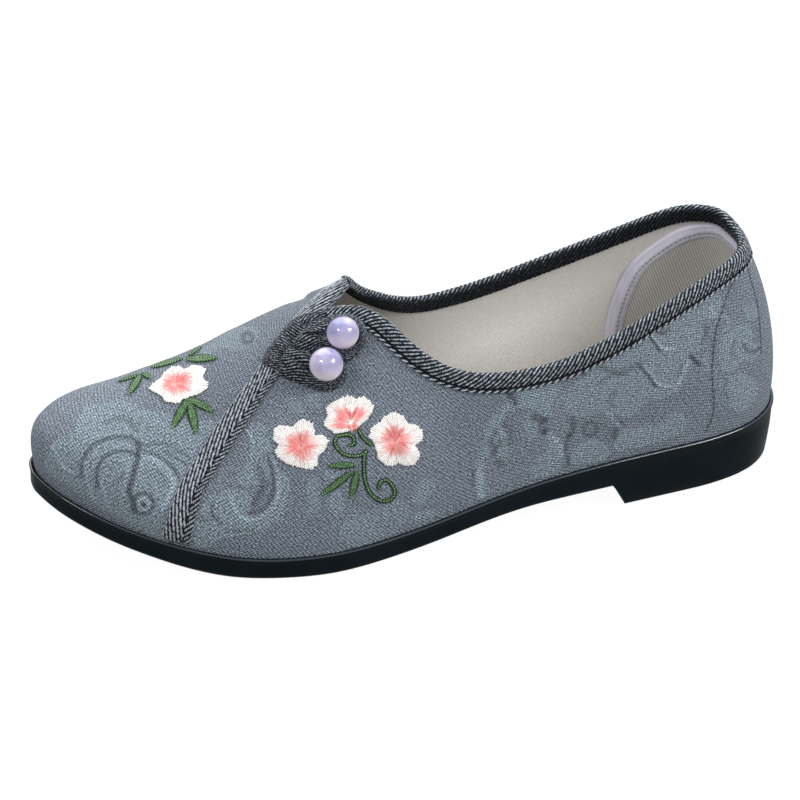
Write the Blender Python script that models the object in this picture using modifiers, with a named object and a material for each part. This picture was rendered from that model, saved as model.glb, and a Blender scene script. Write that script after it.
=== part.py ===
"""Chinese cloth shoe, for the left foot: a cloth upper on a moulded rubber sole with a low heel.

The vamp wraps over the quarter, its edge is bound with a diagonal tape, and two folded loops
with round beads close the throat. X runs from heel to toe, +Y is the outer side of the shoe,
and Z is up. Lengths are in metres.
"""
import math

import bmesh
import bpy
import numpy as np
from mathutils import Matrix, Vector
from mathutils.bvhtree import BVHTree

# Sole
LENGTH = 0.2495
BALL_WIDTH = 0.0845
HEEL_HEIGHT = 0.018
HEEL_REACH = 0.0605
BREAST_RUN = 0.0045
HEEL_TAPER = 0.003
WAIST_THICKNESS = 0.009
FOREFOOT_THICKNESS = 0.0075
TOE_SPRING = 0.016
SOLE_EDGE_ROUND = 0.0009
RIM_WIDTH = 0.0012
RIM_DEPTH = 0.0012
BEAD_HEIGHT = 0.0016
BEAD_PROUD = 0.0004

# Upper
WALL = 0.002
BACK_RISE = 0.0572
INSTEP_RISE = 0.0725

# Insole, bindings and heel pad
INSOLE_THICKNESS = 0.003
BINDING_WIDTH = 0.006
BINDING_INNER_WIDTH = 0.005
BINDING_THICKNESS = 0.0008
TAPE_WIDTH = 0.006
TAPE_THICKNESS = 0.0008
TAPE_LIFT = 0.0004
PAD_THICKNESS = 0.001
PAD_REACH = 0.051
PAD_DROP = 0.0061
PAD_ROUNDNESS = 2.5

# Knot
BEAD_DIAMETER = 0.011
BEAD_LIFT = 0.007
LOOP_RADIUS = 0.0048
LOOP_POINT_RADIUS = 0.0016
LOOP_SHIFT = 0.0008
LOOP_THICKNESS = 0.0015
LOOP_HEIGHT = 0.0034
LOOP_LEAST_HEIGHT = 0.0005
LOOP_SPREAD = 0.0022
WRAP_WIDTH = 0.007
WRAP_EDGE = 0.0009
WRAP_CROWN = 0.0013

# Space between pieces that touch
CLEARANCE = 0.0003
# How far the upper stands in from the sole's edge
FOOT_INSET = RIM_WIDTH + CLEARANCE
# Shares of the collar left free of binding at the notch and at the peak
NOTCH_SHARE = 0.012
PEAK_SHARE = 0.022
# Shares of LENGTH where the round of the heel ends, where the round of the toe begins, and over
# which the heel's taper fades
HEEL_END = 0.13
TOE_START = 0.84
TAPER_END = 0.10
# Shares of LENGTH between which heights go over from BACK_RISE to INSTEP_RISE
RISE_START = 0.15
RISE_END = 0.50

# Plan of the sole's outer and inner edge: share of LENGTH, share of half BALL_WIDTH
OUTER_EDGE = (
    (0.000, 0.00), (0.012, 0.31), (0.050, 0.54), (0.110, 0.67), (0.200, 0.73), (0.320, 0.80),
    (0.440, 0.87), (0.560, 0.97), (0.660, 1.03), (0.740, 0.95), (0.820, 0.78), (0.890, 0.56),
    (0.950, 0.29), (0.985, 0.03), (1.000, -0.31),
)
INNER_EDGE = (
    (0.000, 0.00), (0.012, -0.31), (0.050, -0.53), (0.110, -0.66), (0.200, -0.70),
    (0.320, -0.64), (0.420, -0.62), (0.520, -0.71), (0.620, -0.90), (0.700, -0.97),
    (0.780, -0.96), (0.850, -0.90), (0.910, -0.80), (0.955, -0.67), (0.985, -0.51),
    (1.000, -0.31),
)

# Height of the sole's top: share of LENGTH, then shares of HEEL_HEIGHT, FOREFOOT_THICKNESS
# and TOE_SPRING that add up to it
SOLE_TOP = (
    (0.00, 1.03, 0.00, 0.00), (0.25, 1.00, 0.00, 0.00), (0.36, 0.92, 0.00, 0.00),
    (0.50, 0.20, 1.00, 0.00), (0.62, 0.04, 1.00, 0.00), (0.75, 0.00, 1.02, 0.00),
    (0.88, 0.00, 1.00, 0.37), (1.00, 0.00, 1.00, 1.00),
)
# Height of its underside in front of the heel: share of LENGTH, then shares of HEEL_HEIGHT,
# WAIST_THICKNESS (taken off) and TOE_SPRING
SOLE_UNDER = (
    (0.24, 1.00, 1.10, 0.00), (0.36, 0.94, 1.00, 0.00), (0.50, 0.18, 0.00, 0.00),
    (0.62, 0.02, 0.00, 0.00), (0.66, 0.00, 0.00, 0.00), (0.77, 0.00, 0.00, 0.00),
    (0.88, 0.00, 0.00, 0.37), (1.00, 0.00, 0.00, 1.00),
)

# Top edge of the upper from the notch, round the heel and back up to the peak: share of LENGTH,
# share of half BALL_WIDTH, share of the rise, place of the rib's foot on the sole's edge
# (0 heel, 1 toe, minus on the inner side), and the angle at which the cloth climbs there
COLLAR = (
    (0.636, 0.14, 0.94, 0.626, 20), (0.616, 0.18, 0.96, 0.607, 27), (0.592, 0.25, 0.98, 0.589, 35),
    (0.564, 0.38, 0.95, 0.557, 50), (0.538, 0.53, 0.86, 0.531, 61), (0.508, 0.64, 0.755, 0.503, 70),
    (0.468, 0.71, 0.66, 0.466, 77), (0.416, 0.735, 0.60, 0.416, 82), (0.360, 0.725, 0.595, 0.365, 83),
    (0.300, 0.705, 0.67, 0.313, 82), (0.240, 0.675, 0.79, 0.258, 81), (0.180, 0.615, 0.92, 0.206, 79),
    (0.128, 0.53, 1.00, 0.160, 76), (0.080, 0.37, 1.025, 0.106, 70), (0.055, 0.19, 1.02, 0.050, 64),
    (0.047, 0.00, 1.02, 0.000, 62), (0.050, -0.18, 1.035, -0.050, 64), (0.065, -0.365, 1.055, -0.094, 69),
    (0.105, -0.49, 1.04, -0.145, 75), (0.168, -0.57, 0.94, -0.202, 79), (0.240, -0.61, 0.805, -0.271, 81),
    (0.312, -0.62, 0.685, -0.335, 80), (0.380, -0.585, 0.615, -0.400, 78), (0.440, -0.52, 0.62, -0.460, 72),
    (0.488, -0.415, 0.69, -0.515, 62), (0.528, -0.29, 0.80, -0.556, 50), (0.560, -0.18, 0.90, -0.590, 40),
    (0.584, -0.06, 1.02, -0.620, 30),
)
# Free edge of the vamp between the peak and the notch, in the same columns
NOTCH = ((0.584, -0.06, 1.02, -0.620, 30), (0.610, 0.04, 0.975, -0.633, 5), (0.636, 0.14, 0.94, -0.646, -20))
# Ridge of the vamp from the notch to the toe: share of LENGTH, share of half BALL_WIDTH, share
# of the rise, the foot of its outer and its inner rib, and the slope across it
RIDGE = (
    (0.636, 0.14, 0.94, 0.626, -0.646, 20), (0.676, 0.02, 0.87, 0.655, -0.680, 12),
    (0.720, -0.08, 0.785, 0.688, -0.715, 7), (0.776, -0.19, 0.67, 0.728, -0.758, 3),
    (0.832, -0.26, 0.56, 0.765, -0.800, 0), (0.880, -0.31, 0.465, 0.795, -0.833, 0),
    (0.920, -0.33, 0.40, 0.820, -0.860, 0), (0.952, -0.33, 0.33, 0.840, -0.880, 0),
)
# Fullness of the ribs round the shoe: place of the foot, outward lean in degrees, and the two
# handles of the rib's curve as shares of its length
FULLNESS = (
    (-1.00, 11, 0.68, 0.45), (-0.87, 10, 0.50, 0.38), (-0.75, 7, 0.42, 0.33), (-0.62, 6, 0.42, 0.30),
    (-0.45, 6, 0.38, 0.34), (-0.25, 6, 0.36, 0.36), (0.00, 8, 0.34, 0.32), (0.25, 5, 0.36, 0.36),
    (0.45, 4, 0.38, 0.34), (0.60, 5, 0.32, 0.28), (0.70, 6, 0.30, 0.36), (0.83, 9, 0.42, 0.40),
    (1.00, 11, 0.68, 0.45),
)
# Middle of the diagonal tape below the notch: place of the foot, share of the way up the rib
TAPE_PATH = ((0.803, 0.10), (0.771, 0.33), (0.745, 0.47), (0.719, 0.57), (0.671, 0.77), (0.645, 0.91))
# Beads and their loops on the upper: name, foot and share of the way up of the bead, then of the
# loop's point, and whether the loop lies over the collar binding
KNOT = (("upper", 0.605, 0.84, 0.627, 0.868, True), ("lower", 0.625, 0.735, 0.644, 0.765, False))
# Lower and upper end of the wrap's middle line
WRAP_PLACES = ((0.676, 0.775), (0.646, 0.915))

COLLAR_SPACES = 54
NOTCH_RIBS = 8
RIDGE_RIBS = 14
TOE_RIBS = 12
RIB_ROWS = 13
TAPE_SPACES = 34
LOOP_SPACES = 18
HEEL_STATIONS = 8
WAIST_STATIONS = 15
TOE_STATIONS = 12


def smooth_rows(rows, steps=12):
    """Run a smooth curve through table rows and return dense rows with their share of the length."""
    rows = np.array(rows, dtype=float)
    gaps = np.maximum(np.linalg.norm(np.diff(rows[:, :3], axis=0), axis=1), 1e-9)
    slopes = np.diff(rows, axis=0) / gaps[:, None]
    tangents = np.vstack((slopes[:1], slopes[:-1], slopes[-1:]))[: len(rows)]
    for i in range(1, len(rows) - 1):
        before, after = gaps[i - 1], gaps[i]
        tangents[i] = (slopes[i - 1] * after + slopes[i] * before) / (before + after)
    tangents[-1] = slopes[-1]
    dense = []
    for i, gap in enumerate(gaps):
        for t in np.linspace(0, 1, steps, endpoint=False):
            dense.append((2 * t**3 - 3 * t**2 + 1) * rows[i] + (t**3 - 2 * t**2 + t) * gap * tangents[i]
                         + (3 * t**2 - 2 * t**3) * rows[i + 1] + (t**3 - t**2) * gap * tangents[i + 1])
    dense.append(rows[-1])
    dense = np.array(dense)
    length = np.concatenate(([0], np.cumsum(np.linalg.norm(np.diff(dense[:, :3], axis=0), axis=1))))
    return dense, length / length[-1]


def pick(dense, shares, share):
    """Read the dense rows at one share of their length."""
    return [float(np.interp(share, shares, dense[:, k])) for k in range(dense.shape[1])]


def table_at(rows, place):
    """Read a table at a place of its first column, with a level run between equal rows."""
    rows = np.array(rows, dtype=float)
    x = rows[:, 0]
    gaps = np.diff(x)
    i = int(np.clip(np.searchsorted(x, place) - 1, 0, len(gaps) - 1))
    t = min(max((place - x[i]) / gaps[i], 0.0), 1.0)
    values = []
    for k in range(1, rows.shape[1]):
        slopes = np.diff(rows[:, k]) / gaps
        ends = []
        for j in (i, i + 1):
            left = slopes[max(j - 1, 0)]
            right = slopes[min(j, len(slopes) - 1)]
            ends.append(0.0 if left * right <= 0 else 2 * left * right / (left + right))
        values.append((2 * t**3 - 3 * t**2 + 1) * rows[i, k] + (t**3 - 2 * t**2 + t) * gaps[i] * ends[0]
                      + (3 * t**2 - 2 * t**3) * rows[i + 1, k] + (t**3 - t**2) * gaps[i] * ends[1])
    return values


def sole_top(x):
    heel, forefoot, spring = table_at(SOLE_TOP, x / LENGTH)
    return heel * HEEL_HEIGHT + forefoot * FOREFOOT_THICKNESS + spring * TOE_SPRING


def sole_under(x):
    """Height of the underside: the heel's top piece, its sloping breast, then waist and forefoot."""
    heel, waist, spring = table_at(SOLE_UNDER, x / LENGTH)
    waist_height = heel * HEEL_HEIGHT - waist * WAIST_THICKNESS + spring * TOE_SPRING
    if x <= HEEL_REACH:
        return 0.0
    return waist_height * min((x - HEEL_REACH) / BREAST_RUN, 1.0)


def rise_at(x):
    """The rise that the upper's heights are shares of, blended from the back to the instep."""
    blend = min(max((x / LENGTH - RISE_START) / (RISE_END - RISE_START), 0.0), 1.0)
    blend = blend * blend * (3 - 2 * blend)
    return BACK_RISE * (1 - blend) + INSTEP_RISE * blend


def edge_curve(rows, sign, inset):
    """One side of the sole's edge from heel to toe, moved inwards by inset, with length shares."""
    other = INNER_EDGE if sign > 0 else OUTER_EDGE
    whole = other[2:0:-1] + rows + other[-2:-4:-1]
    steps = 24
    dense, _ = smooth_rows([(a * LENGTH, c * BALL_WIDTH / 2, 0) for a, c in whole], steps)
    along = np.gradient(dense[:, :2], axis=0)
    along /= np.linalg.norm(along, axis=1)[:, None]
    inward = np.column_stack((along[:, 1], -along[:, 0])) * sign
    moved = dense[:, :2] + inward * inset
    moved = moved[2 * steps: 2 * steps + (len(rows) - 1) * steps + 1]
    normals = inward[2 * steps: 2 * steps + (len(rows) - 1) * steps + 1]
    length = np.concatenate(([0], np.cumsum(np.linalg.norm(np.diff(moved, axis=0), axis=1))))
    return moved, normals, length / length[-1]


def sole_stations():
    """Places along the sole, as shares from back to tip, closer where its ends turn."""
    quarter = math.pi / 2
    heel = [HEEL_END * (1 - math.cos(quarter * i / HEEL_STATIONS)) for i in range(HEEL_STATIONS)]
    space = (TOE_START - HEEL_END) / WAIST_STATIONS
    waist = [HEEL_END + space * i for i in range(WAIST_STATIONS)]
    toe = [TOE_START + (1 - TOE_START) * math.sin(quarter * i / TOE_STATIONS)
           for i in range(TOE_STATIONS + 1)]
    breast = [HEEL_REACH / LENGTH, (HEEL_REACH + BREAST_RUN) / LENGTH]
    kept = [s for s in waist if min(abs(s - b) for b in breast) > space / 3]
    return sorted(heel + kept + breast + toe)


def edge_ring(inset, height, taper=0.0):
    """A ring of points round the sole at one inset: outer side to the tip, inner side back."""
    sides = []
    for rows, sign in ((OUTER_EDGE, 1), (INNER_EDGE, -1)):
        points, _, _ = edge_curve(rows, sign, inset)
        first, last = points[0][0], points[-1][0]
        side = []
        for share in sole_stations():
            # The stations are real lengths, so the heel's breast stays straight across
            x = min(max(share * LENGTH, first), last)
            if share < HEEL_END:
                x = first + share / HEEL_END * (HEEL_END * LENGTH - first)
            if share > TOE_START:
                toe = TOE_START * LENGTH
                x = toe + (share - TOE_START) / (1 - TOE_START) * (last - toe)
            y = float(np.interp(x, points[:, 0], points[:, 1]))
            pull = taper * max(0.0, 1 - share / TAPER_END) ** 2
            side.append(Vector((x + pull, y, height(x))))
        sides.append(side)
    return sides[0] + sides[1][-2:0:-1]


def new_object(name, bm, colour, roughness, sharp_degrees=40):
    """Make a named object from a bmesh, shaded smooth, with its own plain material."""
    # Triangles, so that what lies on a piece is fitted to the same flat faces as the piece has
    bmesh.ops.triangulate(bm, faces=bm.faces[:])
    bmesh.ops.recalc_face_normals(bm, faces=bm.faces[:])
    mesh = bpy.data.meshes.new(name)
    bm.to_mesh(mesh)
    bm.free()
    mesh.shade_smooth()
    mesh.set_sharp_from_angle(angle=math.radians(sharp_degrees))
    material = bpy.data.materials.new(name)
    material.use_nodes = True
    shader = material.node_tree.nodes["Principled BSDF"]
    shader.inputs["Base Color"].default_value = (*colour, 1)
    shader.inputs["Roughness"].default_value = roughness
    mesh.materials.append(material)
    piece = bpy.data.objects.new(name, mesh)
    shoe.objects.link(piece)
    return piece


def ladder(bm, ring):
    """Close a ring with strips that run straight across from its outer to its inner side."""
    half = len(ring) // 2
    for i in range(half):
        left = (ring[i], ring[i + 1])
        right = (ring[-i] if i else ring[0], ring[-i - 1])
        corners = list(dict.fromkeys((left[0], left[1], right[1], right[0])))
        if len(corners) > 2:
            bm.faces.new(corners)


def loft(bm, rings, closed=True):
    """Join rings of points of the same count with faces and return their vertices."""
    made = [[bm.verts.new(point) for point in ring] for ring in rings]
    count = len(made[0])
    for lower, upper in zip(made, made[1:]):
        for i in range(count if closed else count - 1):
            j = (i + 1) % count
            bm.faces.new((lower[i], lower[j], upper[j], upper[i]))
    return made


def sweep(sections, closed=False):
    """Loft closed cross sections along a path, with flat ends unless the path is closed."""
    bm = bmesh.new()
    made = [[bm.verts.new(point) for point in section] for section in sections]
    pairs = list(zip(made, made[1:])) + ([(made[-1], made[0])] if closed else [])
    count = len(made[0])
    for one, two in pairs:
        for i in range(count):
            j = (i + 1) % count
            bm.faces.new((one[i], one[j], two[j], two[i]))
    if not closed:
        bm.faces.new(made[0])
        bm.faces.new(made[-1])
    return bm


def make_outsole():
    """Moulded rubber sole and low heel in one piece, with a rim round the seat of the upper."""
    side = (
        (BEAD_PROUD + SOLE_EDGE_ROUND, sole_under, HEEL_TAPER),
        (BEAD_PROUD, lambda x: sole_under(x) + SOLE_EDGE_ROUND, HEEL_TAPER * 0.75),
        (BEAD_PROUD, lambda x: 0.5 * (sole_under(x) + sole_top(x) - BEAD_HEIGHT), HEEL_TAPER * 0.2),
        (BEAD_PROUD, lambda x: sole_top(x) - BEAD_HEIGHT, 0.0),
        (0.0, lambda x: sole_top(x) - 0.7 * BEAD_HEIGHT, 0.0),
        (0.0, lambda x: sole_top(x) - 0.25 * BEAD_HEIGHT, 0.0),
        (0.35 * RIM_WIDTH, sole_top, 0.0),
        (RIM_WIDTH, sole_top, 0.0),
        (RIM_WIDTH, lambda x: sole_top(x) - RIM_DEPTH, 0.0),
    )
    bm = bmesh.new()
    rings = loft(bm, [edge_ring(inset, height, taper) for inset, height, taper in side])
    ladder(bm, rings[0])
    ladder(bm, rings[-1])
    return new_object("outsole", bm, (0.012, 0.012, 0.013), 0.45)


def foot_point(foot):
    """Where a rib stands on the sole: place, inward direction in plan."""
    if foot < -1:
        foot += 2
    points, normals, shares = feet[0] if foot >= 0 else feet[1]
    where = abs(foot)
    x, y = (float(np.interp(where, shares, points[:, k])) for k in (0, 1))
    inward = Vector([float(np.interp(where, shares, normals[:, k])) for k in (0, 1)] + [0]).normalized()
    return Vector((x, y, sole_top(x) - RIM_DEPTH + CLEARANCE)), inward


def rib(foot, top, heading, climb):
    """Points of one rib of the upper, from its foot on the sole to its top."""
    base, inward = foot_point(foot)
    lean, rise, reach = table_at(FULLNESS, foot + 2 if foot < -1 else foot)
    chord = (top - base).length
    up = Vector((0, 0, 1)) * math.cos(math.radians(lean)) - inward * math.sin(math.radians(lean))
    aim = (heading or inward) * math.cos(math.radians(climb)) + Vector((0, 0, math.sin(math.radians(climb))))
    first = base + up * rise * chord
    second = top - aim * reach * chord
    points = []
    for i in range(RIB_ROWS + 1):
        t = i / RIB_ROWS
        points.append(base * (1 - t)**3 + first * 3 * t * (1 - t)**2
                      + second * 3 * t**2 * (1 - t) + top * t**3)
    return points


def edge_place(row):
    """Turn a table row's shares into a place on the upper's top edge."""
    x = row[0] * LENGTH
    return Vector((x, row[1] * BALL_WIDTH / 2, sole_top(x) + row[2] * rise_at(x)))


def collar_stops():
    """Shares along the collar: the notch, then the binding's stretch in even spaces."""
    bound = 1 - PEAK_SHARE - NOTCH_SHARE
    return [0.0] + [NOTCH_SHARE + bound * i / COLLAR_SPACES for i in range(COLLAR_SPACES + 1)]


def upper_ribs():
    """All ribs in one ring: collar, notch, inner side of the ridge, toe, outer side of the ridge."""
    ribs, places = [], []

    def add(foot, top, heading, climb):
        ribs.append(rib(foot, top, heading, climb))
        places.append(foot)

    collar, shares = smooth_rows(COLLAR)
    for stop in collar_stops():
        row = pick(collar, shares, stop)
        add(row[3], edge_place(row), None, row[4])
    notch, shares = smooth_rows(NOTCH)
    for i in range(NOTCH_RIBS):
        row = pick(notch, shares, i / NOTCH_RIBS)
        add(row[3], edge_place(row), None, row[4])
    ridge, shares = smooth_rows(RIDGE)
    stops = [i / RIDGE_RIBS for i in range(RIDGE_RIBS + 1)]
    rows = [pick(ridge, shares, stop) for stop in stops]
    tops = [edge_place(row) for row in rows]
    across = []
    for i in range(len(tops)):
        run = tops[min(i + 1, len(tops) - 1)] - tops[max(i - 1, 0)]
        across.append(Vector((run.y, -run.x, 0)).normalized())
    for row, top, side in zip(rows[:-1], tops, across):
        add(row[4], top, -side, -row[5])
    end = tops[-1]
    run = tops[-1] - tops[-2]
    along = Vector((run.x, run.y, 0)).normalized()
    slope = run.z / Vector((run.x, run.y)).length
    first, last = rows[-1][4], rows[-1][3] - 2
    for i in range(TOE_RIBS + 1):
        foot = first + (last - first) * i / TOE_RIBS
        base, _ = foot_point(foot)
        heading = Vector((end.x - base.x, end.y - base.y, 0)).normalized()
        # The first and last quarter of the turn blend into the ridge's own ribs
        inner_share, outer_share = max(0, 1 - 4 * i / TOE_RIBS), max(0, 4 * i / TOE_RIBS - 3)
        heading = (heading + across[-1] * (outer_share - inner_share)).normalized()
        add(foot, end, heading, math.degrees(math.atan(slope * heading.dot(along))))
    for row, top, side in list(zip(rows, tops, across))[-2:0:-1]:
        add(row[3], top, side, row[5])
    return ribs, places


def make_upper():
    """The whole cloth upper as one hollow shell: an open surface of ribs with a wall inside it."""
    bm = bmesh.new()
    count = len(ribs)
    grid = [[bm.verts.new(point) for point in one] for one in ribs]
    for i in range(count):
        one, two = grid[i], grid[(i + 1) % count]
        for k in range(RIB_ROWS):
            bm.faces.new((one[k], one[k + 1], two[k + 1], two[k]))
    bmesh.ops.remove_doubles(bm, verts=bm.verts[:], dist=0.00001)
    bmesh.ops.dissolve_degenerate(bm, edges=bm.edges[:], dist=0.00001)
    piece = new_object("upper", bm, (0.17, 0.20, 0.21), 0.85, 70)
    wall = piece.modifiers.new("wall", "SOLIDIFY")
    wall.thickness = WALL
    wall.offset = -1
    piece.modifiers.new("flat faces", "TRIANGULATE")
    return piece


def skin_normals():
    """Outward directions of the upper at each point of each rib."""
    directions = []
    count = len(ribs)
    for i in range(count):
        column = []
        for k in range(RIB_ROWS + 1):
            up = ribs[i][min(k + 1, RIB_ROWS)] - ribs[i][max(k - 1, 0)]
            around = ribs[(i + 1) % count][k] - ribs[i - 1][k]
            if around.length < 1e-6:
                around = ribs[(i + 1) % count][k - 1] - ribs[i - 1][k - 1]
            column.append(around.cross(up).normalized())
        directions.append(column)
    return directions


def on_rib(index, down):
    """A point on one rib at a length down from its top, and the outward direction there."""
    column, outward = ribs[index], normals[index]
    left = down
    for k in range(RIB_ROWS, 0, -1):
        step = (column[k - 1] - column[k]).length
        if left <= step or k == 1:
            share = min(left / step, 1.0)
            return column[k].lerp(column[k - 1], share), outward[k].lerp(outward[k - 1], share).normalized()
        left -= step


def skin(foot, up, lift=0.0):
    """A point over the upper's outer side: place of the foot, share of the way up, height over it."""
    outer = sorted((place % 2, i) for i, place in enumerate(places) if place >= 0 or place < -1)
    after = next(k for k in range(1, len(outer)) if outer[k][0] >= foot)
    (place_1, one), (place_2, two) = outer[after - 1], outer[after]
    side = (foot - place_1) / (place_2 - place_1)
    row = min(int(up * RIB_ROWS), RIB_ROWS - 1)
    part = up * RIB_ROWS - row
    spots = [ribs[i][row].lerp(ribs[i][row + 1], part) for i in (one, two)]
    outs = [normals[i][row].lerp(normals[i][row + 1], part) for i in (one, two)]
    out = outs[0].lerp(outs[1], side).normalized()
    return spots[0].lerp(spots[1], side) + out * lift, out


def nearest(probe):
    """The closest point of the upper's outer surface, with its outward direction."""
    place, direction, _, _ = skin_tree.find_nearest(probe)
    return place, direction


def make_insole():
    """Flat-topped foot bed that lies on the sole's seat inside the upper."""
    inset = FOOT_INSET + WALL + 2 * CLEARANCE
    rise = CLEARANCE - RIM_DEPTH
    bm = bmesh.new()
    rings = loft(bm, [
        edge_ring(inset, lambda x: sole_top(x) + rise),
        edge_ring(inset, lambda x: sole_top(x) + rise + 0.8 * INSOLE_THICKNESS),
        edge_ring(inset + 0.2 * INSOLE_THICKNESS, lambda x: sole_top(x) + rise + INSOLE_THICKNESS),
    ])
    ladder(bm, rings[0])
    ladder(bm, rings[-1])
    return new_object("insole", bm, (0.55, 0.50, 0.42), 0.9)


def make_collar_binding():
    """Twill tape folded over the top edge, from beside the notch round the heel to the peak."""
    near, far = CLEARANCE, CLEARANCE + BINDING_THICKNESS
    sections = []
    for i in range(1, len(collar_stops())):
        top, out = ribs[i][RIB_ROWS], normals[i][RIB_ROWS]
        rise = (top - ribs[i][RIB_ROWS - 1]).normalized()
        outer, outer_out = on_rib(i, BINDING_WIDTH)
        inner, inner_out = on_rib(i, BINDING_INNER_WIDTH)
        sections.append((
            outer + outer_out * near,
            outer + outer_out * far,
            top + out * far + rise * near,
            top - out * 0.15 * WALL + rise * (far + near),
            top - out * 0.85 * WALL + rise * (far + near),
            top - out * (WALL + far) + rise * near,
            inner - inner_out * (WALL + far),
            inner - inner_out * (WALL + near),
            top - out * (WALL + near) + rise * near,
            top + out * near + rise * near,
        ))
    return new_object("collar_binding", sweep(sections), (0.075, 0.085, 0.085), 0.85)


def strip_on_skin(path, width, lift, thickness, crown=0.0):
    """Cross sections of a flat strip laid over the upper along points near it."""
    sections = []
    for i, spot in enumerate(path):
        run = path[min(i + 1, len(path) - 1)] - path[max(i - 1, 0)]
        side = nearest(spot)[1].cross(run).normalized()
        low, high = [], []
        for across in (-0.5, -0.33, -0.17, 0.0, 0.17, 0.33, 0.5):
            place, out = nearest(spot + side * across * width)
            low.append(place + out * lift)
            high.append(place + out * (lift + thickness + crown * (1 - 4 * across**2)))
        sections.append(low + high[::-1])
    return sections


def make_vamp_tape():
    """Herringbone tape on the vamp's edge: from the sole past the notch to the collar binding."""
    peak = len(collar_stops())
    points = [skin(foot, up)[0] for foot, up in TAPE_PATH]
    for i in range(peak + NOTCH_RIBS - 1, peak, -1):
        if (ribs[i][RIB_ROWS] - ribs[peak][RIB_ROWS]).length > BINDING_WIDTH + 2 * CLEARANCE:
            points.append(on_rib(i, TAPE_WIDTH / 2)[0])
    dense, shares = smooth_rows(points)
    path = [Vector(pick(dense, shares, i / TAPE_SPACES)) for i in range(TAPE_SPACES + 1)]
    sections = strip_on_skin(path, TAPE_WIDTH, TAPE_LIFT, TAPE_THICKNESS)
    return new_object("vamp_tape", sweep(sections), (0.06, 0.07, 0.07), 0.85)


def make_heel_pad():
    """Grip pad on the lining behind the heel, lower towards its front ends."""
    near, far = WALL + CLEARANCE, WALL + CLEARANCE + PAD_THICKNESS
    spots = [on_rib(i, BACK_RISE / 2)[0] for i in range(len(collar_stops()))]
    back = min(spot.x for spot in spots)
    chosen = []
    for i, spot in enumerate(spots):
        reach = (spot.x - back) / PAD_REACH
        if reach < 0.97:
            chosen.append((i, max(reach, 0.0)))
    sections = []
    foot_gap = INSOLE_THICKNESS + 2 * CLEARANCE
    for i, reach in chosen:
        total = sum((a - b).length for a, b in zip(ribs[i], ribs[i][1:]))
        height = (total - PAD_DROP - foot_gap) * (1 - reach**PAD_ROUNDNESS) ** (1 / PAD_ROUNDNESS)
        outer, inner = [], []
        for share in (1, 0.75, 0.5, 0.25, 0):
            spot, out = on_rib(i, total - foot_gap - height * share)
            outer.append(spot - out * near)
            inner.append(spot - out * far)
        sections.append(outer + inner[::-1])
    return new_object("heel_pad", sweep(sections), (0.30, 0.30, 0.27), 0.9)


def make_bead(name, foot, up):
    """Round bead that sits in the cup of its loop."""
    centre, out = skin(foot, up, BEAD_LIFT)
    bm = bmesh.new()
    bmesh.ops.create_uvsphere(bm, u_segments=20, v_segments=12, radius=BEAD_DIAMETER / 2)
    turn = out.to_track_quat("Z", "X").to_matrix().to_4x4()
    bmesh.ops.transform(bm, matrix=Matrix.Translation(centre) @ turn, verts=bm.verts[:])
    return new_object("bead_" + name, bm, (0.62, 0.60, 0.78), 0.12, 180)


def belt(length, angle):
    """Stops round a drop of two circles: reach of the circle's centre, its radius, and direction."""
    turn = 2 * (math.pi - angle)
    stops = [(0.0, LOOP_RADIUS, angle + turn * i / LOOP_SPACES) for i in range(LOOP_SPACES + 1)]
    run = [(length * t, LOOP_RADIUS + (LOOP_POINT_RADIUS - LOOP_RADIUS) * t) for t in (0.25, 0.5, 0.75)]
    stops += [(reach, radius, -angle) for reach, radius in run]
    stops += [(length, LOOP_POINT_RADIUS, angle * (i / 3 - 1)) for i in range(7)]
    stops += [(reach, radius, angle) for reach, radius in run[::-1]]
    return stops


def room_under(ball, place, direction):
    """Height over the skin that stays clear of a bead's round underside."""
    across = place - ball
    along = across.dot(direction)
    inside = along**2 - across.length_squared + (BEAD_DIAMETER / 2 + CLEARANCE) ** 2
    return -along - math.sqrt(inside) if inside > 0 else math.inf


def make_loop(name, bead_place, point_place, other_place, over_binding):
    """Tape folded into a drop round its bead, low between the beads and spread outside them."""
    bead, out = skin(*bead_place)
    away = bead - skin(*other_place)[0]
    away = (away - out * away.dot(out)).normalized()
    centre = bead + away * LOOP_SHIFT
    toward = skin(*point_place)[0] - centre
    toward = toward - out * toward.dot(out)
    length = toward.length
    toward.normalize()
    side = out.cross(toward)
    low = 2 * CLEARANCE + BINDING_THICKNESS if over_binding else CLEARANCE
    sections = []
    for reach, radius, angle in belt(length, math.acos((LOOP_RADIUS - LOOP_POINT_RADIUS) / length)):
        ring = toward * math.cos(angle) + side * math.sin(angle)
        inner = centre + toward * reach + ring * (radius - LOOP_THICKNESS / 2)
        fullness = (radius - LOOP_POINT_RADIUS) / (LOOP_RADIUS - LOOP_POINT_RADIUS)
        spread = LOOP_SPREAD * fullness * max(0.0, ring.dot(away))
        outer = inner + ring * (LOOP_THICKNESS + spread / 2)
        hem = inner + ring * (LOOP_THICKNESS + spread)
        rows = []
        for probe, raised in ((inner, False), (hem, False), (outer, True), (inner, True)):
            place, direction = nearest(probe)
            height = low
            if raised:
                room = room_under(bead + out * BEAD_LIFT, place, direction)
                height += min(max(room - low, LOOP_LEAST_HEIGHT), LOOP_HEIGHT)
            rows.append(place + direction * height)
        sections.append(rows)
    return new_object("loop_" + name, sweep(sections, closed=True), (0.10, 0.11, 0.11), 0.85)


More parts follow.
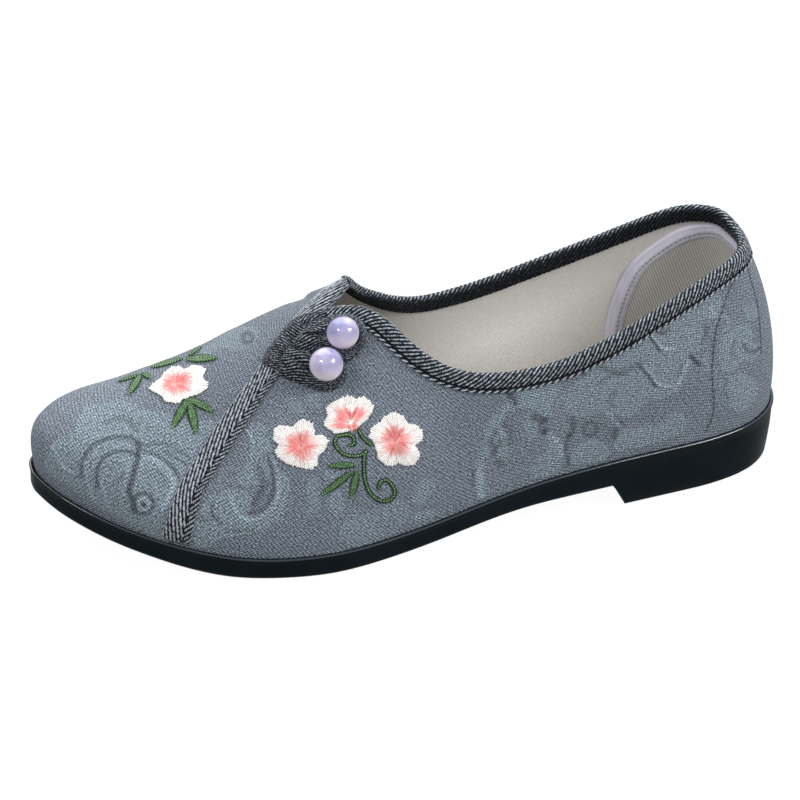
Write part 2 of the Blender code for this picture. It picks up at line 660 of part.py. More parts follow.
def make_wrap():
    """Band over the tape that holds the ends of the loops."""
    first, second = (skin(*place)[0] for place in WRAP_PLACES)
    path = [first.lerp(second, i / 8) for i in range(9)]
    over_tape = TAPE_LIFT + TAPE_THICKNESS + CLEARANCE
    sections = strip_on_skin(path, WRAP_WIDTH, over_tape, WRAP_EDGE, WRAP_CROWN)
    return new_object("knot_wrap", sweep(sections), (0.10, 0.11, 0.11), 0.85)


def floor_shift(pieces):
    """The move that puts the origin under the middle of the shoe, on the floor."""
    view = bpy.context.evaluated_depsgraph_get()
    corners = []
    for piece in pieces:
        solid = piece.evaluated_get(view)
        corners += [Vector(corner) for corner in solid.bound_box]
    low = [min(corner[k] for corner in corners) for k in range(3)]
    high = [max(corner[k] for corner in corners) for k in range(3)]
    return Matrix.Translation((-(low[0] + high[0]) / 2, -(low[1] + high[1]) / 2, -low[2]))


for old in list(bpy.data.objects):
    bpy.data.objects.remove(old, do_unlink=True)
shoe = bpy.data.collections.new("cloth_shoe")
bpy.context.scene.collection.children.link(shoe)

feet = [edge_curve(OUTER_EDGE, 1, FOOT_INSET), edge_curve(INNER_EDGE, -1, FOOT_INSET)]
ribs, places = upper_ribs()
normals = skin_normals()
upper = make_upper()
pieces = [make_outsole(), make_insole(), upper]

surface = bmesh.new()
surface.from_mesh(upper.data)
skin_tree = BVHTree.FromBMesh(surface)
surface.free()

pieces += [make_collar_binding(), make_vamp_tape(), make_heel_pad(), make_wrap()]
for (name, foot, up, point_foot, point_up, over), other in zip(KNOT, reversed(KNOT)):
    pieces.append(make_loop(name, (foot, up), (point_foot, point_up), other[1:3], over))
    pieces.append(make_bead(name, foot, up))
shift = floor_shift(pieces)
for piece in pieces:
    piece.data.transform(shift)
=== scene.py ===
"""Looks of the left Chinese cloth shoe: jacquard cloth, twill tapes, linen lining, silk embroidery,
a knot with two beads and a moulded rubber sole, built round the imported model. Metres, Z up."""
import math
import random

import bmesh
import bpy
import numpy as np
from mathutils import Matrix, Vector
from mathutils.bvhtree import BVHTree


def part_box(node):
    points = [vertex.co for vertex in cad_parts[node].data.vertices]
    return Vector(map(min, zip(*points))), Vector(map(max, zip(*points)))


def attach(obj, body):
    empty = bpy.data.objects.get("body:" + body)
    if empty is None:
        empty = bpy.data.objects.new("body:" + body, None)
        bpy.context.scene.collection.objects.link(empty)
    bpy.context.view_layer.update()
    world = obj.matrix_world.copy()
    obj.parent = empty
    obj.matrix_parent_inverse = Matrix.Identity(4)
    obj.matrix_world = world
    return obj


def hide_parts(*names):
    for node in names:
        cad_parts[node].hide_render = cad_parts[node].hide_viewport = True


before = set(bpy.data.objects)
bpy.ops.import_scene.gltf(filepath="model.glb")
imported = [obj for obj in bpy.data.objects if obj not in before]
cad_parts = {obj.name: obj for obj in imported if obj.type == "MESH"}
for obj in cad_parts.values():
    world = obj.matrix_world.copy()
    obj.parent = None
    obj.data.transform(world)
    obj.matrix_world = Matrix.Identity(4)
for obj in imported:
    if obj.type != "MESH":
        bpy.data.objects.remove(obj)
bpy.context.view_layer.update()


# Camera: a long lens a little over two metres from the shoe's outer side. Its turn, height and
# roll in degrees were fitted to the sole's outline in the photograph, and the picture's middle
# looks at AIM, slid by SLIDE to the right and up. FOCUS is the lens in pixels of the photograph.
PICTURE = 800
SENSOR, NEAREST = 36, 0.01
TURN, HEIGHT, ROLL = math.radians(17.6), math.radians(32.6), math.radians(0.45)
DISTANCE = 2.15
FOCUS = 6605
AIM = Vector((-0.00125, -0.00123, 0.030))
SLIDE = (-0.0043, 0.0026)

back = Vector((math.sin(TURN) * math.cos(HEIGHT), math.cos(TURN) * math.cos(HEIGHT),
               math.sin(HEIGHT)))
level_right = Vector((-math.cos(TURN), math.sin(TURN), 0))
level_up = back.cross(level_right)
right = level_right * math.cos(ROLL) + level_up * math.sin(ROLL)
up = level_up * math.cos(ROLL) - level_right * math.sin(ROLL)
eye = AIM + back * DISTANCE + right * SLIDE[0] + up * SLIDE[1]

lens = bpy.data.cameras.new("camera")
lens.sensor_width = SENSOR
lens.lens = FOCUS / PICTURE * SENSOR
lens.clip_start = NEAREST
camera = bpy.data.objects.new("camera", lens)
camera.matrix_world = Matrix((right, up, back)).transposed().to_4x4()
camera.location = eye
bpy.context.scene.collection.objects.link(camera)
bpy.context.scene.camera = camera
bpy.context.scene.view_settings.view_transform = "Standard"


def sight(px, py):
    """Direction from the camera through a pixel of the photograph."""
    half = PICTURE / 2
    return ((right * (px - half) + up * (half - py)) - back * FOCUS).normalized()


# Studio: a pale seamless floor, an even white surround, a broad soft box overhead, and one on
# either side of the camera, which give each bead its two small highlights.
FLOOR_GREY, FLOOR_WHITE = "3c3c3c", "ffffff"
FLOOR_SIZE = 6.0
SURROUND = 0.38
# Name, direction (right, up, towards the camera), distance, width, height, watts
SOFT_BOXES = (
    ("box_left", (-0.53, 0.32, 0.79), 1.6, 0.52, 0.36, 10),
    ("box_right", (0.73, 0.36, 0.58), 1.6, 0.74, 0.50, 20),
    ("box_top", (-0.10, 0.97, -0.15), 1.8, 2.60, 2.20, 48),
)


def linear(code):
    """Turn an sRGB hex colour into the linear RGBA that shaders take."""
    parts = [int(code[i:i + 2], 16) / 255 for i in (0, 2, 4)]
    return (*(p / 12.92 if p <= 0.04045 else ((p + 0.055) / 1.055) ** 2.4 for p in parts), 1)


def node(tree, kind, inputs=(), out=None, **settings):
    """Add a shader node; each input is a value or an output to link. Gives its output by name, or
    else its factor or its first one."""
    made = tree.nodes.new("ShaderNode" + kind)
    for key, value in settings.items():
        setattr(made, key, value)
    for key, value in dict(inputs).items():
        if isinstance(value, bpy.types.NodeSocket):
            tree.links.new(value, made.inputs[key])
        else:
            made.inputs[key].default_value = value
    return made.outputs[out or ("Fac" if "Fac" in made.outputs else 0)]


def feed(shader, **outputs):
    """Link a shader's sockets to the outputs of other nodes."""
    for key, output in outputs.items():
        shader.id_data.links.new(output, shader.inputs[key.replace("_", " ")])


def material(name, colour, roughness, **sockets):
    """A named Principled material: its base colour, roughness and further fixed sockets."""
    made = bpy.data.materials.new(name)
    made.use_nodes = True
    shader = made.node_tree.nodes["Principled BSDF"]
    shader.inputs["Base Color"].default_value = linear(colour)
    shader.inputs["Roughness"].default_value = roughness
    for key, value in sockets.items():
        shader.inputs[key.replace("_", " ")].default_value = value
    return made, made.node_tree, shader


def place_piece(name, bm, finish, slot, *nodes):
    """Make an object of a bmesh, shaded smooth, which rides on the shoe if a slot is given and
    stands for CAD nodes.
    """
    mesh = bpy.data.meshes.new(name)
    bm.to_mesh(mesh)
    bm.free()
    mesh.shade_smooth()
    mesh.materials.append(finish)
    piece = bpy.data.objects.new(name, mesh)
    bpy.context.scene.collection.objects.link(piece)
    if slot:
        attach(piece, "root")
    if nodes:
        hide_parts(*nodes)
    return piece


# Sheet acrylic lit from within, which leaves no horizon and only a faint shadow to the eye
floor_paint, _, _ = material("lit white acrylic", FLOOR_GREY, 0.9, Emission_Strength=0.97,
                             Emission_Color=linear(FLOOR_WHITE))
bm = bmesh.new()
bmesh.ops.create_grid(bm, x_segments=1, y_segments=1, size=FLOOR_SIZE / 2)
floor = place_piece("floor", bm, floor_paint, None)
floor.visible_diffuse = floor.visible_glossy = False

world = bpy.data.worlds.new("surround")
world.use_nodes = True
world.node_tree.nodes["Background"].inputs["Color"].default_value = (1, 1, 1, 1)
world.node_tree.nodes["Background"].inputs["Strength"].default_value = SURROUND
bpy.context.scene.world = world

for name, toward, far, width, height, power in SOFT_BOXES:
    box = bpy.data.lights.new(name, "AREA")
    box.shape = "RECTANGLE"
    box.energy = power
    box.size = width
    box.size_y = height
    lamp = bpy.data.objects.new(name, box)
    way = (right * toward[0] + up * toward[1] + back * toward[2]).normalized()
    lamp.location = AIM + way * far
    lamp.rotation_euler = way.to_track_quat("Z", "Y").to_euler()
    bpy.context.scene.collection.objects.link(lamp)


# Outsole: black rubber, moulded in one piece with its heel, with a fine grain from the mould on
# its side and a small rim that the upper stands behind.
SOLE_BLACK = "0c1115"
SOLE_SHARP = math.radians(28)
# Grain of the mould, and rubbed patches, seven to ten centimetres
GRAIN_SIZE, PATCH_SIZE = 0.0004, 0.1 / 7
# The rounded lip below the upper: lowest place, how far it faces up, how sharp its edges stay
LIP_LOW, LIP_FACING, LIP_CREASE = 0.0065, (0.5, 0.85), 0.3
JOIN_WITHIN = 0.000002
FLAT_WITHIN, SKEW_WITHIN = math.radians(40), math.radians(60)


def merged(node_name):
    """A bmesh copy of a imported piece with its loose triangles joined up."""
    bm = bmesh.new()
    bm.from_mesh(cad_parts[node_name].data)
    for key in list(bm.loops.layers.uv.keys()):
        bm.loops.layers.uv.remove(bm.loops.layers.uv[key])
    bmesh.ops.remove_doubles(bm, verts=bm.verts[:], dist=JOIN_WITHIN)
    return bm


def quads(bm):
    """Join pairs of triangles that lie nearly flat into quads."""
    bmesh.ops.join_triangles(bm, faces=bm.faces[:], angle_face_threshold=FLAT_WITHIN,
                             angle_shape_threshold=SKEW_WITHIN)


def subdivide(piece, levels):
    """Smooth a finished piece with subdivision."""
    smooth = piece.modifiers.new("smooth", "SUBSURF")
    smooth.levels = levels
    smooth.render_levels = levels


def settle(piece):
    """Apply a piece's modifiers to its mesh."""
    view = bpy.context.evaluated_depsgraph_get()
    solid = bpy.data.meshes.new_from_object(piece.evaluated_get(view))
    piece.modifiers.clear()
    piece.data = solid


# Rubber pressed in a matt steel mould: near black, with a faint grain and duller where it was
# rubbed. Along its rounded lip it is glossy, and its colour is painted lighter there, a painted
# highlight for the bright line of light along the lip
rubber, tree, shader = material("moulded rubber", SOLE_BLACK, 0.42, IOR=1.22, Coat_Roughness=0.12)
place = node(tree, "TexCoord", out="Object")
grain = node(tree, "TexNoise", {"Vector": place, "Scale": 1 / GRAIN_SIZE, "Detail": 2})
marks = node(tree, "TexNoise", {"Vector": place, "Scale": 1 / PATCH_SIZE, "Detail": 4})
rough = node(tree, "MapRange", {"Value": marks, "From Min": 0.3, "From Max": 0.7, "To Min": 0.28,
                                "To Max": 0.42})
tint = node(tree, "MixRGB", {"Fac": marks, "Color1": linear("04080c"), "Color2": linear("0d1a21")})
lip = node(tree, "Attribute", attribute_name="lip")
lip_gloss_and_painted_highlight = node(tree, "MapRange", {"Value": lip, "From Min": 0.75, "From Max": 1.0})
# Painted highlight: the rounded lip's colour is mixed towards a lighter grey
lip_painted_highlight = node(tree, "MixRGB", {"Fac": lip_gloss_and_painted_highlight, "Color1": tint, "Color2": linear("2b333b")})
bump = node(tree, "Bump", {"Height": grain, "Strength": 0.35, "Distance": 0.00008})
feed(shader, Base_Color=lip_painted_highlight, Roughness=rough, Coat_Weight=lip_gloss_and_painted_highlight, Normal=bump)

bm = merged("outsole")
quads(bm)
crease = bm.edges.layers.float.new("crease_edge")
lip = bm.verts.layers.float.new("lip")
rounded = {face for face in bm.faces if LIP_FACING[0] < face.normal.z < LIP_FACING[1]
           and face.calc_center_median().z > LIP_LOW}
for vert in {vert for face in rounded for vert in face.verts}:
    vert[lip] = 1.0
for edge in bm.edges:
    if len(edge.link_faces) == 2 and edge.calc_face_angle() > SOLE_SHARP:
        edge[crease] = LIP_CREASE if rounded & set(edge.link_faces) else 1.0
outsole = place_piece("rubber_outsole", bm, rubber, "sole_rubber", "outsole")
subdivide(outsole, 2)
settle(outsole)
outsole.data.set_sharp_from_angle(angle=SOLE_SHARP)


# Upper: jacquard cloth, slate grey with large tone on tone blossoms, backed and stretched over
# the last. The vamp and the inner side are cut from one panel, whose edge lies over the outer
# quarter along the diagonal tape.
CREASE_ANGLE = math.radians(62)
CLOTH_LEVELS = 3
# Height of the place that tells the shell's outer side, and the least height of its collar
SEED_HEIGHT, RIM_ABOVE = 0.030, 0.045
# The sheets are cut open at the heel, from an edge below CUT_BELOW, climbing CUT_RISE or more
CUT_BELOW, CUT_RISE = 0.03, 0.001
# The vamp's panel lies on the quarter: how high, how far from the tape it comes down, and from
# which place across the shoe and which turn to the camera on
VAMP_RISE, VAMP_BLEND, VAMP_SIDE, VAMP_TURN = 0.0005, (0.002, 0.014), (-0.008, 0.006), (0.05, 0.35)
NEAR_SIDE = -0.01
# Pixels down the middle of the diagonal tape, from the notch to the sole
TAPE_MIDDLE = ((318, 309), (300, 330), (268, 372), (252, 399), (234, 431), (216, 463), (199, 494),
               (184, 518), (174, 536))
# Soft troughs (depth below 0) and ridges in the stretched cloth, made on both sides of the shoe:
# two pixels, width and depth in mm, and the turns to the camera at which they fade out
CREASE_TURN = (0.1, 0.5)
CREASES = (
    ((60, 440), (92, 505), 9, -0.35),
    ((205, 455), (190, 515), 7, -0.45),
    ((262, 400), (300, 470), 8, 0.25),
    ((330, 480), (380, 530), 10, -0.3),
    ((430, 400), (470, 470), 12, -0.3),
    ((560, 380), (590, 440), 12, -0.35),
    ((655, 340), (640, 420), 9, -0.3),
    ((735, 300), (750, 380), 7, -0.4),
    ((110, 400), (180, 440), 10, 0.25),
    ((385, 350), (420, 400), 9, -0.3),
)
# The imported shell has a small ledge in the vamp, on the shoe's hidden side: where it is along the
# shoe, how far round it to iron, from which side and height on, and how hard
LEDGE, LEDGE_REACH = 0.0304, 0.007
LEDGE_SIDE, LEDGE_HEIGHT, PRESS = (-0.002, 0.003), (0.03, 0.04), 0.9
# Metres that a pixel of the photograph spans on the shoe
PIXEL = 0.00033
# A wave texture's scale for a pitch of one metre
WAVE = math.pi / 10
# Ground and figures slant opposite ways: turn, pitch across the ribs, length of their strokes,
# and how much the strokes part. Both are about twice as coarse as the real weave, so that they show
SLANTS = ((math.radians(-45), 0.00074, 0.00105, 0.42), (math.radians(50), 0.00084, 0.00112, 0.38))
# Slubs, fifteen to a centimetre, and broad cloudy patches, three to ten centimetres
SLUB_SIZE, CLOUD_SIZE = 0.01 / 15, 0.1 / 3
# The woven figures, charted in pixels of the photograph: strength and outline of the paler petals,
# leaves and clouds
PALE_SHAPES = (
    (0.8, ((44, 462), (50, 447), (58, 438), (74, 432), (77, 418), (84, 408), (100, 404), (118, 402),
           (132, 404), (142, 410), (158, 413), (175, 416), (190, 424), (205, 421), (224, 424),
           (202, 458), (182, 492), (164, 540), (140, 530), (110, 514), (85, 499), (60, 482),
           (46, 471))),
    (0.8, ((246, 430), (254, 423), (266, 428), (273, 440), (268, 455), (258, 460), (255, 470),
           (262, 463), (270, 468), (268, 480), (255, 487), (240, 486), (236, 481), (243, 470),
           (248, 455), (250, 445))),
    (0.8, ((188, 545), (194, 520), (203, 502), (220, 493), (236, 490), (247, 493), (252, 503),
           (247, 513), (256, 519), (270, 512), (276, 498), (277, 484), (281, 470), (288, 480),
           (289, 497), (282, 516), (266, 530), (240, 536), (220, 540), (205, 549))),
    (0.5, ((306, 480), (317, 477), (319, 495), (317, 514), (309, 517), (306, 500))),
    (0.5, ((322, 470), (338, 472), (346, 480), (334, 486), (326, 480))),
    (0.5, ((330, 490), (340, 492), (346, 505), (338, 520), (329, 512))),
    (0.5, ((336, 540), (345, 520), (362, 514), (380, 508), (398, 500), (410, 508), (404, 526),
           (380, 540), (356, 548))),
    (0.7, ((412, 502), (416, 488), (428, 478), (436, 484), (428, 498), (420, 508))),
    (0.9, ((408, 524), (414, 515), (426, 511), (438, 512), (424, 521))),
    (0.8, ((478, 500), (476, 480), (478, 462), (482, 446), (486, 430), (492, 418), (500, 410),
           (508, 403), (518, 398), (512, 390), (526, 384), (545, 378), (562, 376), (556, 395),
           (552, 408), (549, 419), (536, 412), (520, 408), (506, 414), (500, 424), (507, 438),
           (508, 452), (503, 466), (497, 455), (492, 440), (488, 450), (484, 468), (484, 498))),
    (0.6, ((522, 420), (530, 412), (535, 420), (537, 434), (531, 442), (525, 436))),
    (0.8, ((532, 480), (534, 465), (541, 456), (548, 449), (547, 434), (554, 438), (562, 446),
           (564, 462), (556, 474))),
    (0.7, ((568, 466), (574, 450), (585, 442), (597, 441), (606, 446), (608, 458), (590, 464))),
    (0.8, ((611, 454), (616, 440), (622, 432), (640, 428), (660, 424), (678, 412), (686, 418),
           (682, 432), (660, 442))),
    (0.6, ((560, 400), (575, 385), (590, 372), (600, 356), (625, 340), (645, 332), (658, 322),
           (676, 312), (690, 300), (710, 292), (722, 300), (716, 318), (702, 330), (705, 345),
           (700, 352), (690, 356), (686, 372), (678, 388), (668, 398), (650, 402), (636, 415),
           (618, 420), (600, 412), (584, 418), (566, 412))),
    (0.7, ((722, 338), (735, 330), (741, 324), (750, 327), (753, 338), (752, 345), (763, 342),
           (761, 352), (752, 363), (742, 362), (735, 371), (724, 373), (718, 356))),
    (0.7, ((718, 384), (733, 375), (746, 375), (756, 382), (759, 392), (753, 402), (742, 413),
           (728, 408), (722, 396))),
    (0.6, ((744, 307), (756, 306), (758, 318), (747, 321))),
    (0.5, ((706, 352), (712, 362), (714, 376), (706, 372), (700, 362))),
    (0.6, ((200, 350), (214, 340), (228, 330), (246, 326), (258, 330), (256, 342), (246, 350),
           (232, 352), (220, 348), (208, 356))),
    (0.5, ((292, 410), (284, 404), (290, 397), (300, 402), (306, 410), (300, 416))),
    (0.5, ((306, 396), (316, 394), (322, 402), (316, 410), (308, 406))),
)
# Their woven outlines: strength (dark below 0), width in pixels, line, and below them how soft the
# edges are, in pixels and as shares of the width
DRAWN_LINES = (
    (-1.0, 3.4, ((81, 478), (82, 464), (85, 455), (92, 446), (102, 441), (112, 438), (124, 437.5),
                 (132, 439), (138, 444))),
    (-1.0, 3.4, ((98, 488), (97, 472), (101, 461), (108, 455), (118, 451.5), (128, 451.5),
                 (135, 455))),
    (-1.2, 4.4, ((138, 444), (138, 456), (135, 468), (132, 480), (129, 492), (133, 502),
                 (134, 511))),
    (-0.7, 2.6, ((140, 446), (150, 445), (161, 444.5))),
    (-1.0, 3.6, ((143, 452), (153, 455), (162, 460), (169, 465), (174, 471), (178, 479))),
    (-0.6, 2.4, ((160, 450), (170, 455), (180, 461), (188, 467))),
    (-0.6, 2.4, ((163, 444), (173, 448), (184, 455), (192, 459))),
    (-0.9, 3.2, ((134, 500), (137, 496), (144, 494), (151, 498), (153, 505), (150, 512), (144, 514),
                 (137, 512), (134, 507), (134, 500))),
    (-1.4, 4.0, ((143, 505), (144, 505.5))),
    (0.7, 3.4, ((139, 502), (143, 499), (148, 503), (147, 509), (141, 510), (139, 506))),
    (0.6, 3.0, ((84, 462), (86, 478), (90, 492), (94, 501))),
    (0.6, 3.0, ((100, 476), (103, 492), (108, 506))),
    (0.7, 3.4, ((52, 446), (57, 456), (64, 468), (73, 474))),
    (0.7, 6.0, ((144, 456), (158, 461), (168, 471), (174, 481), (171, 493), (163, 507))),
    (-0.5, 5.0, ((104, 423), (118, 419), (130, 422), (137, 430))),
    (-0.4, 3.0, ((110, 470), (116, 462), (122, 470), (118, 482), (112, 486))),
    (-0.4, 3.0, ((146, 474), (153, 470), (162, 476), (166, 484))),
    (0.9, 2.6, ((246, 430), (250, 436), (253, 443))),
    (0.9, 3.6, ((271, 456), (276, 470), (278, 485), (277, 498), (270, 509), (260, 517), (250, 520),
                (241, 518), (235, 510), (232, 500))),
    (-0.8, 3.4, ((269, 458), (272, 472), (273, 488), (269, 502), (259, 512), (248, 514))),
    (-0.7, 6.0, ((258, 468), (263, 480), (260, 494), (254, 504))),
    (-0.8, 3.0, ((212, 504), (213, 516), (221, 524))),
    (-0.6, 3.0, ((226, 530), (240, 532), (252, 530))),
    (-0.6, 4.0, ((196, 518), (206, 520))),
    (-1.0, 3.4, ((490, 440), (495, 452), (501, 467))),
    (-0.9, 3.0, ((493, 428), (497, 438), (500, 446))),
    (-1.3, 4.0, ((508, 394), (512, 398), (514, 404))),
    (-0.6, 5.0, ((505, 424), (510, 432), (508, 444))),
    (-0.8, 3.0, ((474, 472), (474, 486))),
    (1.0, 4.0, ((479, 470), (479, 484), (481, 498))),
    (-0.8, 7.0, ((534, 418), (541, 422), (544, 430))),
    (-1.3, 3.4, ((544, 431), (547, 436))),
    (-1.1, 3.0, ((544, 419), (546, 422))),
    (1.0, 2.6, ((547, 420), (546, 430), (551, 437), (558, 441), (561, 449), (561, 456))),
    (-0.9, 3.4, ((568, 436), (566, 448), (567, 466))),
    (-0.8, 3.0, ((586, 424), (592, 423), (597, 429), (593, 436), (585, 435), (583, 429),
                 (586, 424))),
    (-0.9, 5.0, ((572, 420), (574, 428), (570, 436))),
    (-1.0, 4.0, ((615, 430), (614, 438))),
    (-0.6, 3.0, ((612, 408), (610, 398), (616, 392))),
    (-0.6, 3.0, ((616, 417), (622, 424))),
    (0.8, 3.0, ((606, 414), (613, 420), (618, 428))),
    (0.9, 2.8, ((641, 331), (649, 334), (656, 341), (661, 348), (673, 350))),
    (-1.1, 2.8, ((651, 339), (656, 346), (660, 352))),
    (-1.2, 3.2, ((641, 368), (648, 376), (655, 386))),
    (0.9, 3.0, ((645, 368), (652, 377), (659, 385), (671, 387))),
    (0.9, 3.2, ((689, 362), (684, 372), (680, 382), (675, 391))),
    (-1.2, 3.6, ((690, 356), (693, 360), (699, 365))),
    (-0.7, 3.0, ((681, 366), (679, 376))),
    (-0.6, 5.0, ((600, 368), (612, 372), (628, 370), (640, 364))),
    (-0.5, 3.4, ((598, 384), (610, 376), (626, 375))),
    (-0.9, 3.0, ((744, 345), (747, 350), (754, 353), (760, 348))),
    (-0.8, 3.0, ((658, 332), (662, 334), (668, 331))),
    (-0.7, 3.0, ((704, 320), (706, 332), (701, 344))),
    (0.7, 3.2, ((711, 309), (716, 316), (726, 318), (730, 326), (724, 332))),
    (-0.7, 3.0, ((726, 380), (724, 390), (728, 400))),
    (-0.6, 2.8, ((736, 340), (732, 350), (736, 360))),
    (-0.9, 3.4, ((252, 336), (248, 333), (243, 335), (243, 341), (249, 343), (253, 340))),
)
PALE_EDGE, DRAWN_EDGE = 1.6, (0.25, 0.9)
# Turns to the camera from which a figure fades in, and over which its mirror image gives way
FIGURE_TURN, MIRROR_TURN = (0.02, 0.25), (0.0, 0.12)
# Seams sewn through the cloth beside the heel, as pixels, with the spacing of their stitches
SEAMS = (
    (((738, 273), (730, 288), (725, 303), (717, 326), (713, 351), (712, 376), (712, 417),
      (706, 431)), 6.8),
    (((747, 264), (750, 277), (757, 303), (760, 332), (761, 352)), 6.2),
)
# Painted shade of a seam's furrow and its needle holes: how dark it is, and how far round them it
# fades, in pixels
FURROW_SHADE, HOLE_SHADE = (0.16, 0.5, 2.6), (0.9, 1.0, 2.4)
SEAM_REACH = 0.002


def spline(stops, values, at):
    """Read a smooth curve, given by values at rising stops, at other stops."""
    stops, values, at = (np.asarray(item, float) for item in (stops, values, at))
    slopes = np.gradient(values, stops, axis=0)
    cell = np.clip(np.searchsorted(stops, at) - 1, 0, len(stops) - 2)
    gap = stops[cell + 1] - stops[cell]
    share = (at - stops[cell]) / gap
    wide = (len(at),) + (1,) * (values.ndim - 1)
    share, gap = share.reshape(wide), gap.reshape(wide)
    return ((2 * share ** 3 - 3 * share ** 2 + 1) * values[cell]
            + (share ** 3 - 2 * share ** 2 + share) * gap * slopes[cell]
            + (3 * share ** 2 - 2 * share ** 3) * values[cell + 1]
            + (share ** 3 - share ** 2) * gap * slopes[cell + 1])


def run_of(points):
    """Distance covered at each point of a line."""
    return np.concatenate([[0], np.cumsum(np.linalg.norm(np.diff(points, axis=0), axis=1))])


def evenly(points, count):
    """A smooth line through points, read at evenly spaced places."""
    points = np.asarray(points, float)
    stops = run_of(points)
    fine = spline(stops, points, np.linspace(0, stops[-1], count * 4))
    run = run_of(fine)
    even = np.linspace(0, run[-1], count)
    return np.column_stack([np.interp(even, run, fine[:, k]) for k in range(points.shape[1])])


def part_of(bm, seed):
    """Faces that join up with the one nearest to a seed point without crossing a sharp edge."""
    start = min(bm.faces, key=lambda face: (face.calc_center_median() - seed).length)
    found, open_faces = {start}, [start]
    while open_faces:
        face = open_faces.pop()
        for edge in face.edges:
            for other in edge.link_faces:
                if other not in found and edge.calc_face_angle(math.pi) < CREASE_ANGLE:
                    found.add(other)
                    open_faces.append(other)
    return found


def sheet_of(node_name, seed):
    """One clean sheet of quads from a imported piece: the side of its wall that holds the seed."""
    bm = merged(node_name)
    wanted = part_of(bm, Vector(seed))
    bmesh.ops.delete(bm, geom=[face for face in bm.faces if face not in wanted], context="FACES")
    bmesh.ops.holes_fill(bm, edges=[edge for edge in bm.edges if edge.is_boundary], sides=4)
    quads(bm)
    return bm


def unwrap(piece):
    """Lay a sheet out flat in a UV map in metres, cut open at the heel, u running to the toe."""
    bm = bmesh.new()
    bm.from_mesh(piece.data)
    spot = min((vert for vert in bm.verts if vert.is_boundary and vert.co.z < CUT_BELOW),
               key=lambda vert: vert.co.x)
    middle = spot.co.y
    while spot:
        rising = [edge for edge in spot.link_edges if not edge.is_boundary
                  and edge.other_vert(spot).co.z > spot.co.z + CUT_RISE]
        edge = min(rising, key=lambda edge: abs(edge.other_vert(spot).co.y - middle), default=None)
        if edge:
            edge.seam = True
        spot = edge.other_vert(spot) if edge else None
    bm.to_mesh(piece.data)
    bm.free()
    bpy.context.view_layer.objects.active = piece
    piece.select_set(True)
    bpy.ops.object.mode_set(mode="EDIT")
    bpy.ops.mesh.select_all(action="SELECT")
    bpy.ops.uv.unwrap(method="MINIMUM_STRETCH", margin=0)
    bpy.ops.object.mode_set(mode="OBJECT")
    piece.select_set(False)
    mesh = piece.data
    flat = np.array([item.uv for item in mesh.uv_layers.active.data])
    spots = np.array([mesh.vertices[loop.vertex_index].co for loop in mesh.loops])
    outer = spots[:, 1] > 0.5 * spots[:, 1].max()
    fit = np.linalg.lstsq(np.column_stack([flat[outer], np.ones(outer.sum())]), spots[outer],
                          rcond=None)[0]
    to_toe = fit[:2, 0] / np.linalg.norm(fit[:2, 0])
    to_top = np.array([-to_toe[1], to_toe[0]])
    if to_top @ fit[:2, 2] < 0:
        to_top = -to_top
    solid = flat_area = 0
    for face in mesh.polygons:
        corners = [flat[i] for i in face.loop_indices]
        flat_area += abs(sum(a[0] * b[1] - a[1] * b[0]
                             for a, b in zip(corners, corners[1:] + corners[:1]))) / 2
        solid += face.area
    scale = math.sqrt(solid / flat_area)
    turned = np.column_stack([flat @ to_toe, flat @ to_top]) * scale
    for item, uv in zip(mesh.uv_layers.active.data, turned):
        item.uv = uv


def search_tree(mesh):
    """A search tree of a mesh's faces."""
    return BVHTree.FromPolygons([vert.co for vert in mesh.vertices],
                                [face.vertices for face in mesh.polygons])


def pixels_of(points):
    """Pixels of the photograph where points, an array of rows, are seen."""
    away = points - np.array(eye)
    depth = -(away @ np.array(back))
    across = PICTURE / 2 + away @ np.array(right) / depth * FOCUS
    down = PICTURE / 2 - away @ np.array(up) / depth * FOCUS
    return np.column_stack([across, down])


def from_line(points, line):
    """Distance of points to a line of corners, and which side of it they are on."""
    nearest = np.full(len(points), 1e9)
    side = np.zeros(len(points))
    line = np.array(line, float)
    for start, end in zip(line[:-1], line[1:]):
        step = end - start
        share = np.clip((points - start) @ step / (step @ step), 0, 1)
        gap = points - start - share[:, None] * step
        far = np.hypot(gap[:, 0], gap[:, 1])
        closer = far < nearest
        turn = step[0] * gap[:, 1] - step[1] * gap[:, 0]
        nearest = np.where(closer, far, nearest)
        side = np.where(closer, np.sign(turn), side)
    return nearest, side


def inside(points, outline):
    """Which points lie inside a closed outline of corners."""
    outline = np.array(outline, float)
    within = np.zeros(len(points), bool)
    for start, end in zip(outline, np.roll(outline, -1, axis=0)):
        if start[1] == end[1]:
            continue
        crosses = (start[1] > points[:, 1]) != (end[1] > points[:, 1])
        reach = start[0] + (points[:, 1] - start[1]) * (end[0] - start[0]) / (end[1] - start[1])
        within ^= crosses & (points[:, 0] < reach)
    return within


def soft(values, low, high):
    """Ease from 0 below low to 1 above high."""
    share = np.clip((values - low) / (high - low), 0, 1)
    return share * share * (3 - 2 * share)


def read_mesh(mesh):
    """Vertex places and normals of a mesh, as arrays of rows."""
    spots = np.empty(len(mesh.vertices) * 3)
    mesh.vertices.foreach_get("co", spots)
    normals = np.empty(len(mesh.vertices) * 3)
    mesh.vertices.foreach_get("normal", normals)
    return spots.reshape(-1, 3), normals.reshape(-1, 3)


def add_value(mesh, name, values):
    """Store a number for each vertex, for a material to read."""
    mesh.attributes.new(name, "FLOAT", "POINT").data.foreach_set("value", values.astype(np.float32))


